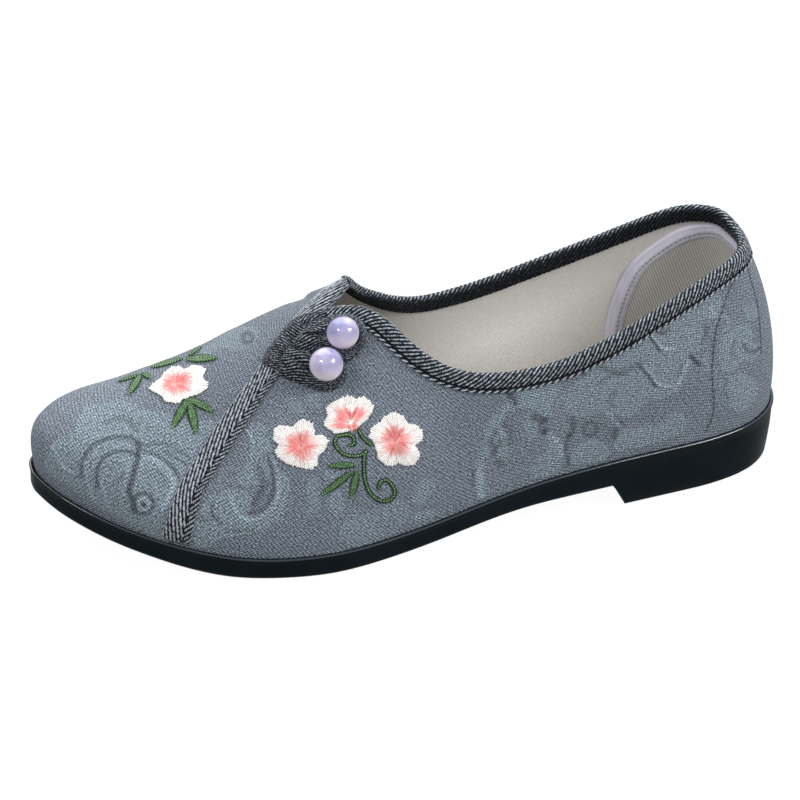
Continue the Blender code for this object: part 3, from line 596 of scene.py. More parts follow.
def iron(mesh, rounds, sink):
    """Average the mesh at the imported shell's ledge: along its surface, and by a share into it."""
    spots, normals = read_mesh(mesh)
    press = soft(LEDGE_REACH - abs(spots[:, 0] - LEDGE), 0, LEDGE_REACH / 2)
    press *= soft(-spots[:, 1], *LEDGE_SIDE) * soft(spots[:, 2], *LEDGE_HEIGHT)
    bm = bmesh.new()
    bm.from_mesh(mesh)
    press[[vert.index for vert in bm.verts if vert.is_boundary]] = 0
    ends = np.array([[vert.index for vert in edge.verts] for edge in bm.edges])
    bm.free()
    ends = ends[(press[ends] > 0).any(axis=1)]
    ends = np.concatenate([ends, ends[:, ::-1]])
    links = np.maximum(np.bincount(ends[:, 0], minlength=len(spots)), 1)
    for _ in range(rounds):
        around = [np.bincount(ends[:, 0], spots[ends[:, 1], k], len(spots)) / links
                  for k in range(3)]
        move = press[:, None] * (np.column_stack(around) - spots) * PRESS
        move -= (1 - sink) * normals * np.sum(move * normals, axis=1, keepdims=True)
        spots += move
    mesh.vertices.foreach_set("co", spots.ravel())
    mesh.update()


# Jacquard woven from two dull slate yarns: the ground and the paler figures slant opposite ways,
# which catches the light differently, and slubs and loose ends make the surface gritty
cloth_finish, tree, shader = material("jacquard brocade", "7b868e", 0.85, Sheen_Weight=0.1,
                                      Sheen_Roughness=0.5, IOR=1.3)
flat = node(tree, "TexCoord", out="UV")
weaves = []
for turn, pitch, length, parted in SLANTS:
    turned = node(tree, "Mapping", {"Vector": flat, "Rotation": (0, 0, turn)})
    ribs = node(tree, "TexWave", {"Vector": turned, "Scale": WAVE / pitch, "Distortion": 1.5,
                                  "Detail": 2, "Detail Scale": 2}, bands_direction="X")
    ends = node(tree, "TexWave", {"Vector": turned, "Scale": WAVE / length, "Distortion": 2,
                                  "Detail": 2, "Detail Scale": 2}, bands_direction="Y")
    weaves.append(node(tree, "MixRGB", {"Fac": parted, "Color1": ribs, "Color2": ends}))
charted = node(tree, "Attribute", attribute_name="figure")
lines = node(tree, "Attribute", attribute_name="drawing")
holes = node(tree, "Attribute", attribute_name="seam")
slub = node(tree, "TexNoise", {"Vector": flat, "Scale": 1 / SLUB_SIZE, "Detail": 2,
                               "Roughness": 0.7})
ragged = node(tree, "MapRange", {"Value": slub, "To Min": -0.5, "To Max": 0.5})
edged = node(tree, "Math", {0: charted, 1: ragged}, operation="ADD")
shape = node(tree, "MapRange", {"Value": edged, "From Min": 0.05, "From Max": 0.95})
thread = node(tree, "MixRGB", {"Fac": shape, "Color1": weaves[0], "Color2": weaves[1]})
broad = node(tree, "TexNoise", {"Vector": flat, "Scale": 1 / CLOUD_SIZE, "Detail": 4})
plain = node(tree, "MixRGB", {"Fac": broad, "Color1": linear("606974"),
                              "Color2": linear("7a838e")})
pale = node(tree, "MixRGB", {"Fac": shape, "Color1": plain, "Color2": linear("7a8992")})
line = node(tree, "MapRange", {"Value": lines, "From Min": -1.2, "From Max": 1.2, "To Min": 0.38,
                               "To Max": 1.62})
# Painted shade: the cloth darkens along the seams' furrows and at their needle holes
painted_seam_shade = node(tree, "MapRange", {"Value": holes, "To Min": 1, "To Max": 0.35})
dots = node(tree, "MapRange", {"Value": thread, "From Min": 0.15, "From Max": 0.85,
                               "To Min": 0.5, "To Max": 1.5})
grit = node(tree, "MapRange", {"Value": slub, "From Min": 0.32, "From Max": 0.68, "To Min": 0.2,
                               "To Max": 1.85})
shade = node(tree, "Math", {0: dots, 1: grit}, operation="MULTIPLY")
shade = node(tree, "Math", {0: shade, 1: line}, operation="MULTIPLY")
shade = node(tree, "Math", {0: shade, 1: painted_seam_shade}, operation="MULTIPLY")
dyed = node(tree, "VectorMath", {0: pale, "Scale": shade}, operation="SCALE")
relief = node(tree, "Math", {0: lines, 1: thread}, operation="ADD")
relief = node(tree, "Math", {0: relief, 1: shape}, operation="ADD")
bump = node(tree, "Bump", {"Height": relief, "Strength": 0.9, "Distance": 0.0003})
feed(shader, Base_Color=dyed, Normal=bump)

bm = sheet_of("upper", (0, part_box("upper")[1][1], SEED_HEIGHT))
whole_cloth = place_piece("jacquard_vamp", bm, cloth_finish, "jacquard_cloth", "upper")
iron(whole_cloth.data, rounds=6, sink=0)
unwrap(whole_cloth)
subdivide(whole_cloth, CLOTH_LEVELS)
settle(whole_cloth)
iron(whole_cloth.data, rounds=80, sink=1)
cloth_tree = search_tree(whole_cloth.data)


def on_cloth(px, py):
    """Where a pixel of the photograph lands on the outer cloth, with the direction outwards."""
    spot, out, _, _ = cloth_tree.ray_cast(eye, sight(px, py))
    return spot, out


spots, normals = read_mesh(whole_cloth.data)
facing = normals @ np.array(back)
mirror_facing = (normals * (1, -1, 1)) @ np.array(back)
chart, mirror_chart = pixels_of(spots), pixels_of(spots * (1, -1, 1))
tape_far, tape_side = from_line(chart, TAPE_MIDDLE)
near_side = (facing > 0) & (spots[:, 1] > NEAR_SIDE)
on_quarter = near_side & (tape_side < 0)
rise = VAMP_RISE * (1 - soft(tape_far * PIXEL, *VAMP_BLEND)) * (near_side & ~on_quarter)
rise *= soft(spots[:, 1], *VAMP_SIDE) * soft(facing, *VAMP_TURN)
for start, end, width, depth in CREASES:
    for seen, looks in ((chart, facing), (mirror_chart, mirror_facing)):
        far = from_line(seen, (start, end))[0] * PIXEL * 1000
        rise += depth / 1000 * np.exp(-(far / width * 2) ** 2) * soft(looks, *CREASE_TURN)
whole_cloth.data.vertices.foreach_set("co", (spots + normals * rise[:, None]).ravel())
whole_cloth.data.update()
cloth_tree = search_tree(whole_cloth.data)


def near_line(seen, line, reach):
    """Which points are within reach of a line's bounding box."""
    low, high = np.min(line, axis=0) - reach, np.max(line, axis=0) + reach
    return np.all((seen > low) & (seen < high), axis=1)


figure, drawing, seam = (np.zeros(len(spots)) for _ in range(3))
seam_tracks = []
for line, spacing in SEAMS:
    seen = np.array([on_cloth(px, py)[0] for px, py in evenly(line, 10)])
    for side in (1, -1):
        track = np.array([cloth_tree.find_nearest(Vector(spot * (1, side, 1)))[0] for spot in seen])
        holes = evenly(track, int(run_of(track)[-1] / spacing / PIXEL) + 1)
        close = np.flatnonzero(near_line(spots, track, SEAM_REACH))
        for marks, (dark, full, faded) in ((evenly(track, 300), FURROW_SHADE), (holes, HOLE_SHADE)):
            far = np.linalg.norm(spots[close][:, None] - marks[None], axis=2).min(axis=1) / PIXEL
            seam[close] += dark * (1 - soft(far, full, faded))
        seam_tracks.append((track, spacing))
shown = soft(facing, *FIGURE_TURN)
hidden = soft(mirror_facing, *FIGURE_TURN) * (1 - soft(facing, *MIRROR_TURN))
for seen, looks in ((chart, shown), (mirror_chart, hidden)):
    pale, drawn = np.zeros(len(spots)), np.zeros(len(spots))
    for strength, outline in PALE_SHAPES:
        outline = evenly(list(outline) + [outline[0]], len(outline) * 3)
        close = np.flatnonzero(near_line(seen, outline, 2.5 * PALE_EDGE))
        far, _ = from_line(seen[close], outline)
        far = np.where(inside(seen[close], outline[:-1]), far, -far)
        pale[close] = np.maximum(pale[close], strength * soft(far, -PALE_EDGE, PALE_EDGE))
    for strength, width, line in DRAWN_LINES:
        line = evenly(line, len(line) * 3)
        close = np.flatnonzero(near_line(seen, line, width))
        far, _ = from_line(seen[close], line)
        drawn[close] += strength * (1 - soft(far / width, *DRAWN_EDGE))
    figure += pale * looks
    drawing += drawn * looks
add_value(whole_cloth.data, "figure", figure)
add_value(whole_cloth.data, "drawing", drawing)
add_value(whole_cloth.data, "seam", np.clip(seam, 0, 1))

bm = bmesh.new()
bm.from_mesh(whole_cloth.data)
bm.verts.ensure_lookup_table()
rim_edges = [edge for edge in bm.edges if edge.is_boundary and edge.verts[0].co.z > RIM_ABOVE]
first = max((vert for edge in rim_edges for vert in edge.verts), key=lambda vert: vert.co.x)
rim, spare = [first], set(rim_edges)
while True:
    ahead = [edge for edge in rim[-1].link_edges if edge in spare]
    if len(rim) == 1:
        ahead.sort(key=lambda edge: -edge.other_vert(first).co.y)
    if not ahead:
        break
    spare.discard(ahead[0])
    rim.append(ahead[0].other_vert(rim[-1]))
rim = np.array([vert.co for vert in rim])
peak = int(np.argmax(rim[:, 2]))
collar_line, vamp_line = rim[:peak + 1], rim[peak:]

panel = bm.copy()
for cut, keeps_quarter in ((bm, False), (panel, True)):
    waste = [face for face in cut.faces
             if all(on_quarter[vert.index] for vert in face.verts) != keeps_quarter]
    bmesh.ops.delete(cut, geom=waste, context="FACES")
bm.to_mesh(whole_cloth.data)
bm.free()
whole_cloth.data.shade_smooth()
place_piece("jacquard_quarter", panel, cloth_finish, "jacquard_cloth", "upper")


# Lining: cream linen glued to the inside of the cloth, and the foot bed, a flat board on the sole's
# seat, covered in the same linen.
LINING_SEED, LINING_LEVELS, BED_SHARP = (-0.03, 0, 0.035), 2, math.radians(35)
# Its threads, and its slubs, seven to a centimetre
LINEN_PITCH, LINEN_SLUB = 0.0008, 0.01 / 7
# Heights between which the lining's colour is painted darker towards the collar, a painted shade
# under the collar's binding
SHADE_HEIGHTS = (0.034, 0.058)

# Plain woven linen, bleached to cream: matt, with an open grid of uneven threads. The grid is a
# little coarser than the real one, so that it shows
lining_finish, tree, shader = material("cream linen", "f1eeea", 0.9, Sheen_Weight=0.15)
flat = node(tree, "TexCoord", out="UV")
warp, weft = (node(tree, "TexWave", {"Vector": flat, "Scale": WAVE / LINEN_PITCH,
                                     "Distortion": 1.2, "Detail": 2}, bands_direction=direction)
              for direction in "XY")
slubs = node(tree, "TexNoise", {"Vector": flat, "Scale": 1 / LINEN_SLUB, "Detail": 4,
                                "Roughness": 0.75})
woven = node(tree, "MixRGB", {"Fac": 0.35, "Color1": warp, "Color2": weft})
threads = node(tree, "Math", {0: woven, 1: slubs}, operation="MULTIPLY")
tint = node(tree, "MixRGB", {"Fac": threads, "Color1": linear("bcb8b2"),
                             "Color2": linear("fffdfb")})
# Painted shade: the lining's colour darkens with height towards the collar
height = node(tree, "SeparateXYZ", {"Vector": node(tree, "TexCoord", out="Object")}, out="Z")
painted_shade_by_height = node(tree, "MapRange", {"Value": height, "From Min": SHADE_HEIGHTS[0],
                               "From Max": SHADE_HEIGHTS[1], "To Min": 1.0, "To Max": 0.8})
painted_shade_tint = node(tree, "VectorMath", {0: tint, "Scale": painted_shade_by_height}, operation="SCALE")
bump = node(tree, "Bump", {"Height": threads, "Strength": 0.4, "Distance": 0.0001})
feed(shader, Base_Color=painted_shade_tint, Normal=bump)

bm = sheet_of("upper", LINING_SEED)
lining = place_piece("linen_lining", bm, lining_finish, "lining_linen", "upper")
unwrap(lining)
subdivide(lining, LINING_LEVELS)
settle(lining)
lining_tree = search_tree(lining.data)

bm = merged("insole")
quads(bm)
insole = place_piece("linen_insole", bm, lining_finish, "lining_linen", "insole")
insole.data.set_sharp_from_angle(angle=BED_SHARP)


# Collar binding: charcoal twill tape folded over the collar's edge and sewn through, with bold
# slanting ribs, a stitched groove and a narrow braided selvedge below it.
# Spacing of the stations that shape it, and its mesh's step along it and rows across
STATION, COLLAR_STEP, COLLAR_ROWS = 0.003, 0.00036, 44
RIB_PITCH, RIB_STROKE, RIB_CUT, RIB_HEIGHT = 0.00115, 0.006, 0.5, 0.0002
RIB_TURN = math.radians(43)
GROOVE, GROOVE_WIDTH = 0.0019, 0.0003
BRAID_PITCH, BRAID_EDGE, BRAID_SLANT = 0.0012, (0.0003, 0.0007), (0.5, -0.87)
# How far the strokes step along from rib to rib, and where each one is cut off
STROKE_STEP, STROKE_END = 0.37, (0.6, 1)
# Where across the fold the ribs sink to lie flat on the lining; as the colour follows their height,
# this also paints the tape's inside darker, a painted shade
FOLD_SINK = (0.5, 0.65)
CLOTH_WALL = 0.002
THREAD_PITCH, FUZZ_SIZE = 0.0005, 0.01 / 14
# Across the fold from the outer edge: distance below the rim, height out of the cloth, in mm
FOLD_OUTSIDE = ((5.8, 0.05), (5.7, 0.5), (5.0, 0.7), (3.4, 0.85), (1.6, 0.95))
FOLD_TOP = ((0.3, 0.75), (-0.55, 0.1), (-0.85, -1.0), (-0.55, -2.1), (0.3, -2.75))
FOLD_INSIDE = ((1.6, 0.8), (3.4, 0.7), (5.0, 0.6), (5.2, 0.0))


def lay_grid(bm, places, flat, out, ridge):
    """Add a grid to a bmesh from rows of points, their UVs and how far each is a rib's crest or a
    gap, which the materials turn into painted shade in the gaps and a painted highlight on the
    crests; out is how its middle faces."""
    middle = len(places) // 2
    along = places[middle, 1] - places[middle, 0]
    across = places[middle, 0] - places[middle - 1, 0]
    if np.cross(along, across) @ np.array(out) < 0:
        places, flat, ridge = places[:, ::-1], flat[:, ::-1], ridge[:, ::-1]
    rows, columns = places.shape[0] - 1, places.shape[1] - 1
    layer = bm.loops.layers.uv.verify()
    rib = bm.verts.layers.float.get("rib") or bm.verts.layers.float.new("rib")
    made = bmesh.ops.create_grid(bm, x_segments=columns, y_segments=rows, size=0.5)["verts"]
    for vert in made:
        column, row = round((vert.co.x + 0.5) * columns), round((vert.co.y + 0.5) * rows)
        vert.co = places[row, column]
        vert[rib] = ridge[row, column]
        for loop in vert.link_loops:
            loop[layer].uv = flat[row, column]


def ribbon(bm, knots, step, rows, out, relief):
    """Add a strip of cloth through knots (stations by lanes of points) with a woven relief."""
    knots = np.asarray(knots, float)
    run = run_of(knots[:, knots.shape[1] // 2])
    lanes = np.mean([run_of(station) for station in knots], axis=0)
    columns = max(int(run[-1] / step), 3)
    u = np.linspace(0, run[-1], columns + 1)
    v = np.linspace(0, lanes[-1], rows + 1)
    places = spline(run, knots, u).swapaxes(0, 1)
    places = spline(lanes, places, v)
    flat = np.stack(np.meshgrid(u, v), axis=2)
    normal = np.cross(np.gradient(places, axis=1), np.gradient(places, axis=0))
    normal /= np.linalg.norm(normal, axis=2, keepdims=True) + 1e-12
    if normal[rows // 2, 0] @ np.array(out) < 0:
        normal = -normal
    height = relief(flat[..., 0], flat[..., 1], lanes[-1])
    # The relief's height, stored for the colour: painted shade in its gaps, a painted highlight on
    # its crests
    ridge = np.clip(0.5 + height / RIB_HEIGHT / 2, 0, 1)
    lay_grid(bm, places + normal * height[..., None], flat, out, ridge)


def frames(line, step):
    """Even stations along a rim with their travel, outward and into-cloth directions."""
    count = max(int(run_of(line)[-1] / step), 4)
    line = evenly(line, count)
    travel = np.gradient(line, axis=0)
    outward = np.array([cloth_tree.find_nearest(Vector(spot))[1] for spot in line])
    for _ in range(3):
        travel[1:-1] = (travel[:-2] + travel[1:-1] * 2 + travel[2:]) / 4
        outward[1:-1] = (outward[:-2] + outward[1:-1] * 2 + outward[2:]) / 4
    travel /= np.linalg.norm(travel, axis=1, keepdims=True)
    outward -= travel * np.sum(outward * travel, axis=1, keepdims=True)
    outward /= np.linalg.norm(outward, axis=1, keepdims=True)
    return line, outward, np.cross(travel, outward)


def on_lining(spot, lift):
    """The place nearest to a spot on the lining, at a height in mm over it."""
    near, face_out, _, _ = lining_tree.find_nearest(Vector(spot))
    return np.array(near + face_out * lift / 1000)


def folded(line, outward, into):
    """Lanes of a tape folded over a rim: snapped to the cloth, over the edge and to the lining."""
    knots = []
    for spot, out, down in zip(line, outward, into):
        lanes = []
        for far, lift in FOLD_OUTSIDE:
            near, face_out, _, _ = cloth_tree.find_nearest(Vector(spot + down * far / 1000))
            lanes.append(np.array(near + face_out * lift / 1000))
        lanes += [spot + down * far / 1000 + out * lift / 1000 for far, lift in FOLD_TOP]
        lanes += [on_lining(spot + down * far / 1000 - out * CLOTH_WALL, lift)
                  for far, lift in FOLD_INSIDE]
        knots.append(lanes)
    return np.array(knots)


def strokes(across, along, pitch, length):
    """Woven ribs cut into strokes, whose ends step along from rib to rib."""
    ends = np.cos((along / length + STROKE_STEP * np.round(across / pitch)) * 2 * math.pi)
    ribs = (0.5 + 0.5 * np.cos(across / pitch * 2 * math.pi)) ** 0.8 * 2 - 1
    return ribs - RIB_CUT * soft(ends, *STROKE_END)


def braided(u, v, slant):
    """Small plain ribs that cross the tape at a slant."""
    return np.cos((u * slant[0] + v * slant[1]) / BRAID_PITCH * 2 * math.pi)


def dent(v, middle, width):
    """A narrow groove along a tape."""
    return np.exp(-((v - middle) / width) ** 2)


def twill_relief(u, v, width):
    """Bold slanting ribs, a sewn groove, and a braided selvedge at the outer edge."""
    ribs = strokes(u * math.sin(RIB_TURN) - v * math.cos(RIB_TURN),
                   u * math.cos(RIB_TURN) + v * math.sin(RIB_TURN), RIB_PITCH, RIB_STROKE)
    # The selvedge sinks at the tape's very edge, which through the colour paints a dark line there,
    # a painted shadow on the cloth beside it
    braid = braided(u, v, BRAID_SLANT) - 2.4 * (1 - soft(v, *BRAID_EDGE))
    height = np.where(v > GROOVE, 0.85 * ribs - 0.2, 1.2 * braid + 0.1)
    height -= 0.9 * soft(v / width, *FOLD_SINK)
    return RIB_HEIGHT * (height - 2.2 * dent(v, GROOVE, GROOVE_WIDTH))


# Ribbed twill tape of charcoal and pale grey cotton, with a fine thread grain and a little fuzz.
# Its colour follows the ribs' height: painted shade in the dark gaps between them and a painted
# highlight on their crests
tape_finish, tree, shader = material("ribbed twill tape", "50585f", 0.72, Sheen_Weight=0.08,
                                     Sheen_Roughness=0.4, IOR=1.25)
flat = node(tree, "TexCoord", out="UV")
fine = node(tree, "TexWave", {"Vector": flat, "Scale": WAVE / THREAD_PITCH, "Distortion": 1.0,
                              "Detail": 1}, bands_direction="X")
fuzz = node(tree, "TexNoise", {"Vector": flat, "Scale": 1 / FUZZ_SIZE, "Detail": 2})
rib = node(tree, "Attribute", attribute_name="rib")
ridge = node(tree, "MapRange", {"Value": fuzz, "From Min": 0.3, "From Max": 0.7, "To Min": -0.25,
                                "To Max": 0.25})
painted_shade_level = node(tree, "Math", {0: rib, 1: ridge}, operation="ADD")
tint = node(tree, "ValToRGB", {"Fac": painted_shade_level})
ramp = tint.node.color_ramp.elements
for stop, at, code in zip(ramp, (0.2, 0.9), ("070a10", "b0b7c0")):
    stop.position, stop.color = at, linear(code)
ramp.new(0.5).color = linear("3a414a")
both = node(tree, "Math", {0: fine, 1: fuzz}, operation="ADD")
bump = node(tree, "Bump", {"Height": both, "Strength": 0.4, "Distance": 0.0001})
feed(shader, Base_Color=tint, Normal=bump)

line, outward, into = frames(collar_line, STATION)
bm = bmesh.new()
ribbon(bm, folded(line, outward, into), COLLAR_STEP, COLLAR_ROWS, -into[0], twill_relief)
place_piece("twill_collar_binding", bm, tape_finish, "twill_tape", "collar_binding")


# Vamp tape: the same twill tape on the overlapping panel's edge, from the sole up to the knot,
# and on over the throat's edge to its peak. Its bold ribs give way to small ones beside the heel
# edge.
# The edges of the diagonal tape, towards the toe and the heel, as pairs of pixels from the sole up
TAPE_EDGES = (((162, 538), (190, 544)), ((170, 511), (196, 517)), ((178.7, 488.5), (203, 492)),
              ((193.6, 462.4), (218, 468)), ((218.8, 423), (240, 434)),
              ((237.5, 397), (256.5, 408)), ((258, 369), (278, 376)), ((268, 352), (290, 360)),
              ((283, 332), (306, 340)))
# Lanes between its edges: share of the way across, lift in mm
TAPE_LANES = ((-0.02, 0.0), (0.0, 0.55), (0.15, 0.75), (0.4, 0.8), (0.65, 0.9), (0.85, 1.1),
              (0.98, 0.95), (1.02, 0.0))
# The least turn to the camera that a lift along the line of sight is reckoned with
STEEPEST = 0.35
TAPE_STEP, TAPE_ROWS, TAPE_STATIONS = 0.0003, 22, 40
VAMP_RIBS, VAMP_PITCH, SMALL_SLANT = math.radians(15), 0.0011, (0.62, -0.78)
# Where across the tape its bold ribs end, how wide the furrow there is, and the turn of the ribs
# over the throat
SPLIT, SPLIT_WIDTH, THROAT_SLANT = 0.66, 0.0002, (0.42, 0.9)
# The tape's outer edge over the throat, in pixels, from beside the wrap to the peak
THROAT_EDGE = ((292, 320), (299, 312.5), (307, 304.5), (315, 297), (323, 290), (331, 284.5),
               (339, 280), (346, 277))
THROAT_STATION, THROAT_ROWS = 0.0015, 44
# Lanes between that edge and the rim: share of the way across, lift in mm
THROAT_LANES = ((0.2, 0.75), (0.45, 0.85), (0.7, 0.9), (0.88, 0.9))


def over_cloth(px, py, lift):
    """A point seen at a pixel, at a height in mm over the cloth, or over the cloth below it."""
    ray = sight(px, py)
    lower = py
    spot, out = on_cloth(px, lower)
    while spot is None:
        lower += 0.5
        spot, out = on_cloth(px, lower)
    if lower > py:
        spot = eye + ray * ((spot - eye).dot(back) / ray.dot(back))
    return np.array(spot - ray * (lift / 1000 / max(-ray.dot(out), STEEPEST)))


def vamp_relief(u, v, width):
    """Bold ribs nearly along the tape, then small ones that slant the other way."""
    bold = strokes(u * math.sin(VAMP_RIBS) + v * math.cos(VAMP_RIBS), u, VAMP_PITCH, RIB_STROKE)
    split = width * SPLIT
    height = np.where(v < split, 1.2 * bold + 0.2, braided(u, v, SMALL_SLANT))
    height += 0.25 * np.sin(u / 0.0004 + 3 * np.sin(v / THREAD_PITCH))
    return RIB_HEIGHT * (height - 1.5 * dent(v, split, SPLIT_WIDTH))


def throat_relief(u, v, width):
    """The bold ribs of the tape where it is folded over the throat's edge."""
    turn, lean = THROAT_SLANT
    ribs = strokes(u * turn - v * lean, u * lean + v * turn, RIB_PITCH, RIB_STROKE)
    return RIB_HEIGHT * (1.1 * ribs + 0.1)


edges = np.array(TAPE_EDGES, float)
toe_edge, heel_edge = (evenly(edges[:, k], TAPE_STATIONS) for k in (0, 1))
knots = [[over_cloth(*(a + (b - a) * share), lift) for share, lift in TAPE_LANES]
         for a, b in zip(toe_edge, heel_edge)]
bm = bmesh.new()
ribbon(bm, knots, TAPE_STEP, TAPE_ROWS, back, vamp_relief)
place_piece("twill_vamp_tape", bm, tape_finish, "twill_tape", "vamp_tape")

line, outward, _ = frames(vamp_line[::-1], THROAT_STATION)
outer = evenly(THROAT_EDGE, len(line))
rim_pixels = pixels_of(line)
knots = []
for spot, out, edge, rim_pixel in zip(line, outward, outer, rim_pixels):
    lanes = [over_cloth(*edge, 0), over_cloth(*edge, 0.5)]
    for share, lift in THROAT_LANES:
        lanes.append(over_cloth(*(edge + (rim_pixel - edge) * share), lift))
    into = lanes[2] - spot
    into -= out * (into @ out)
    into /= np.linalg.norm(into)
    lanes += [spot + into * far / 1000 + out * lift / 1000 for far, lift in FOLD_TOP]
    lanes += [on_lining(spot + into * far / 1000 - out * CLOTH_WALL, lift)
              for far, lift in FOLD_INSIDE]
    knots.append(lanes)
bm = bmesh.new()
ribbon(bm, knots, TAPE_STEP, THROAT_ROWS, outward[0], throat_relief)
place_piece("twill_throat_tape", bm, tape_finish, "twill_tape", "vamp_tape")


# Heel pad: grey beige twill over thin foam, glued on the lining behind the heel, its edge bound
# with a pale satin tape that is sewn down by a line of stitches.
HEEL_MIDDLE, HEEL_ROUND = -0.1, 0.021
PAD_SLANT, PAD_CORD = math.radians(-20), 0.00085
# Across the satin tape from the lining over the pad's edge: distance in, height over the pad, mm
SATIN_LANES = ((-0.5, -1.4), (-0.45, -0.3), (0.2, 0.35), (1.4, 0.6), (2.8, 0.6), (4.1, 0.35),
               (4.8, 0.05))
SATIN_GROOVE, SATIN_STITCH, MOTTLE_SIZE = 0.0046, 0.0018, 0.00625
# The pad's front edge as height and distance ahead of the shoe's middle, in mm
PAD_FRONT = ((21, -76.9), (31, -76.9), (39.5, -78.4), (45.7, -80.1), (56.1, -84.4), (57, -70))
# The pad's edge is bound down to PAD_FOOT over its lowest place
PAD_FOOT = 0.0025
SATIN_STATIONS, SATIN_STEP, SATIN_ROWS = 150, 0.0004, 26


def round_front(bm):
    """Draw the pad's front edge in to its rounded outline."""
    heights, ahead = np.array(PAD_FRONT).T / 1000
    for vert in bm.verts:
        vert.co.x = min(vert.co.x, np.interp(vert.co.z, heights, ahead))


def long_loop(bm, upper_part):
    """The points of a sheet's boundary in order, where a test of a point keeps them."""
    edges = {edge for edge in bm.edges if edge.is_boundary
             and upper_part(edge.verts[0].co) and upper_part(edge.verts[1].co)}
    ends = [vert for edge in edges for vert in edge.verts
            if sum(link in edges for link in vert.link_edges) == 1]
    at = min(ends, key=lambda vert: vert.co.y)
    points = [at.co.copy()]
    while True:
        ahead = [edge for edge in at.link_edges if edge in edges]
        if not ahead:
            return np.array(points)
        edges.discard(ahead[0])
        at = ahead[0].other_vert(at)
        points.append(at.co.copy())


# Cotton twill in grey and beige yarns: matt, with fine slanting cords
pad_finish, tree, shader = material("grey beige twill", "b9b7b1", 0.9, Sheen_Weight=0.1)
flat = node(tree, "TexCoord", out="UV")
slant = node(tree, "Mapping", {"Vector": flat, "Rotation": (0, 0, PAD_SLANT)})
cord = node(tree, "TexWave", {"Vector": slant, "Scale": WAVE / PAD_CORD, "Distortion": 1.0,
                              "Detail": 2, "Detail Scale": 2}, bands_direction="X")
tint = node(tree, "MixRGB", {"Fac": cord, "Color1": linear("92918c"), "Color2": linear("cbcac4")})
bump = node(tree, "Bump", {"Height": cord, "Strength": 0.5, "Distance": 0.0001})
feed(shader, Base_Color=tint, Normal=bump)

bm = merged("heel_pad")
quads(bm)
round_front(bm)
pad = place_piece("twill_heel_pad", bm, pad_finish, "pad_twill", "heel_pad")
subdivide(pad, 2)
settle(pad)
pad_tree = search_tree(pad.data)
pad_map = pad.data.uv_layers.new(name="flat")
for loop, item in zip(pad.data.loops, pad_map.data):
    spot = pad.data.vertices[loop.vertex_index].co - Vector((HEEL_MIDDLE, 0, 0))
    around = HEEL_ROUND * (math.pi / 2 if spot.x > 0 else math.atan2(abs(spot.y), -spot.x))
    item.uv = (math.copysign(around + max(spot.x, 0), spot.y), spot.z)

# Satin woven from polyester: smooth and softly shining, pale lilac, a little uneven where it is
# pulled over the pad's edge, and darker in the stitched groove
satin_finish, tree, shader = material("lilac white satin", "e4e0ea", 0.38, Sheen_Weight=0.2)
place = node(tree, "TexCoord", out="Object")
mottle = node(tree, "TexNoise", {"Vector": place, "Scale": 1 / MOTTLE_SIZE, "Detail": 3})
tint = node(tree, "MixRGB", {"Fac": mottle, "Color1": linear("b0aebf"),
                             "Color2": linear("d0cfda")})
groove = node(tree, "Attribute", attribute_name="rib")
sewn = node(tree, "MixRGB", {"Fac": groove, "Color1": linear("6d6c70"), "Color2": tint})
bump = node(tree, "Bump", {"Height": mottle, "Strength": 0.3, "Distance": 0.0003})
feed(shader, Base_Color=sewn, Normal=bump)

pad_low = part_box("heel_pad")[0][2]
bm = sheet_of("heel_pad", (-0.08, 0, 0.05))
round_front(bm)
pad_edge = long_loop(bm, lambda spot: spot.z > pad_low + PAD_FOOT)
bm.free()
line = evenly(pad_edge, SATIN_STATIONS)
travel = np.gradient(line, axis=0)
for _ in range(4):
    travel[1:-1] = (travel[:-2] + travel[1:-1] + travel[2:]) / 3
knots = []
for spot, ahead in zip(line, travel):
    spot, ahead = Vector(spot), Vector(ahead).normalized()
    out = (Vector((max(spot.x, HEEL_MIDDLE), 0, spot.z)) - spot).normalized()
    inward = out.cross(ahead).normalized()
    if inward.x + inward.z > 0:
        inward = -inward
    lanes = []
    for far, lift in SATIN_LANES:
        aim = spot + inward * far / 1000
        if far > 0:
            aim = pad_tree.find_nearest(aim + out * CLOTH_WALL)[0]
        lanes.append(np.array(aim + out * lift / 1000))
    knots.append(lanes)


def sewn_groove(u, v, width):
    """A stitched groove along the satin tape, a little in from its inner edge."""
    stitch = 0.55 + 0.45 * np.cos(u / SATIN_STITCH * 2 * math.pi)
    return RIB_HEIGHT * (1 - 2 * dent(v, SATIN_GROOVE, 0.00035) * stitch)


bm = bmesh.new()
ribbon(bm, knots, SATIN_STEP, SATIN_ROWS, Vector((0.5, 0, 1)), sewn_groove)
place_piece("satin_pad_edging", bm, satin_finish, "satin_tape")


# Counter seams: charcoal thread that holds the stiff heel counter behind the cloth, in two seams of
# small stitches on each side of the heel, sewn through the cloth after it is lined.
STITCH_LENGTH, STITCH_WIDTH, STITCH_SINK = 0.0010, 0.00055, 0.00005


def sew(bm, line, tree, pitch):
    """Lay a line of short rounded stitches on a surface."""
    count = int(run_of(line)[-1] / pitch)
    line = evenly(line, count * 3 + 1)
    for first, last in zip(line[:-2:3], line[2::3]):
        near, out, _, _ = tree.find_nearest(Vector((first + last) / 2))
        along = Vector(last - first)
        along = (along - out * along.dot(out)).normalized()
        turn = Matrix((along, out.cross(along), out)).transposed().to_4x4()
        size = Matrix.Diagonal((STITCH_LENGTH / 2, STITCH_WIDTH / 2, STITCH_WIDTH / 2, 1))
        bmesh.ops.create_uvsphere(bm, u_segments=8, v_segments=6, radius=1,
                                  matrix=Matrix.Translation(near - out * STITCH_SINK) @ turn @ size)


# Spun polyester, which looks matt and nearly black; each stitch is too small for any grain
thread_finish, _, _ = material("charcoal polyester thread", "171c22", 0.6)
bm = bmesh.new()
for track, spacing in seam_tracks:
    sew(bm, track, cloth_tree, spacing * PIXEL)
place_piece("counter_stitches", bm, thread_finish, "jacquard_cloth")


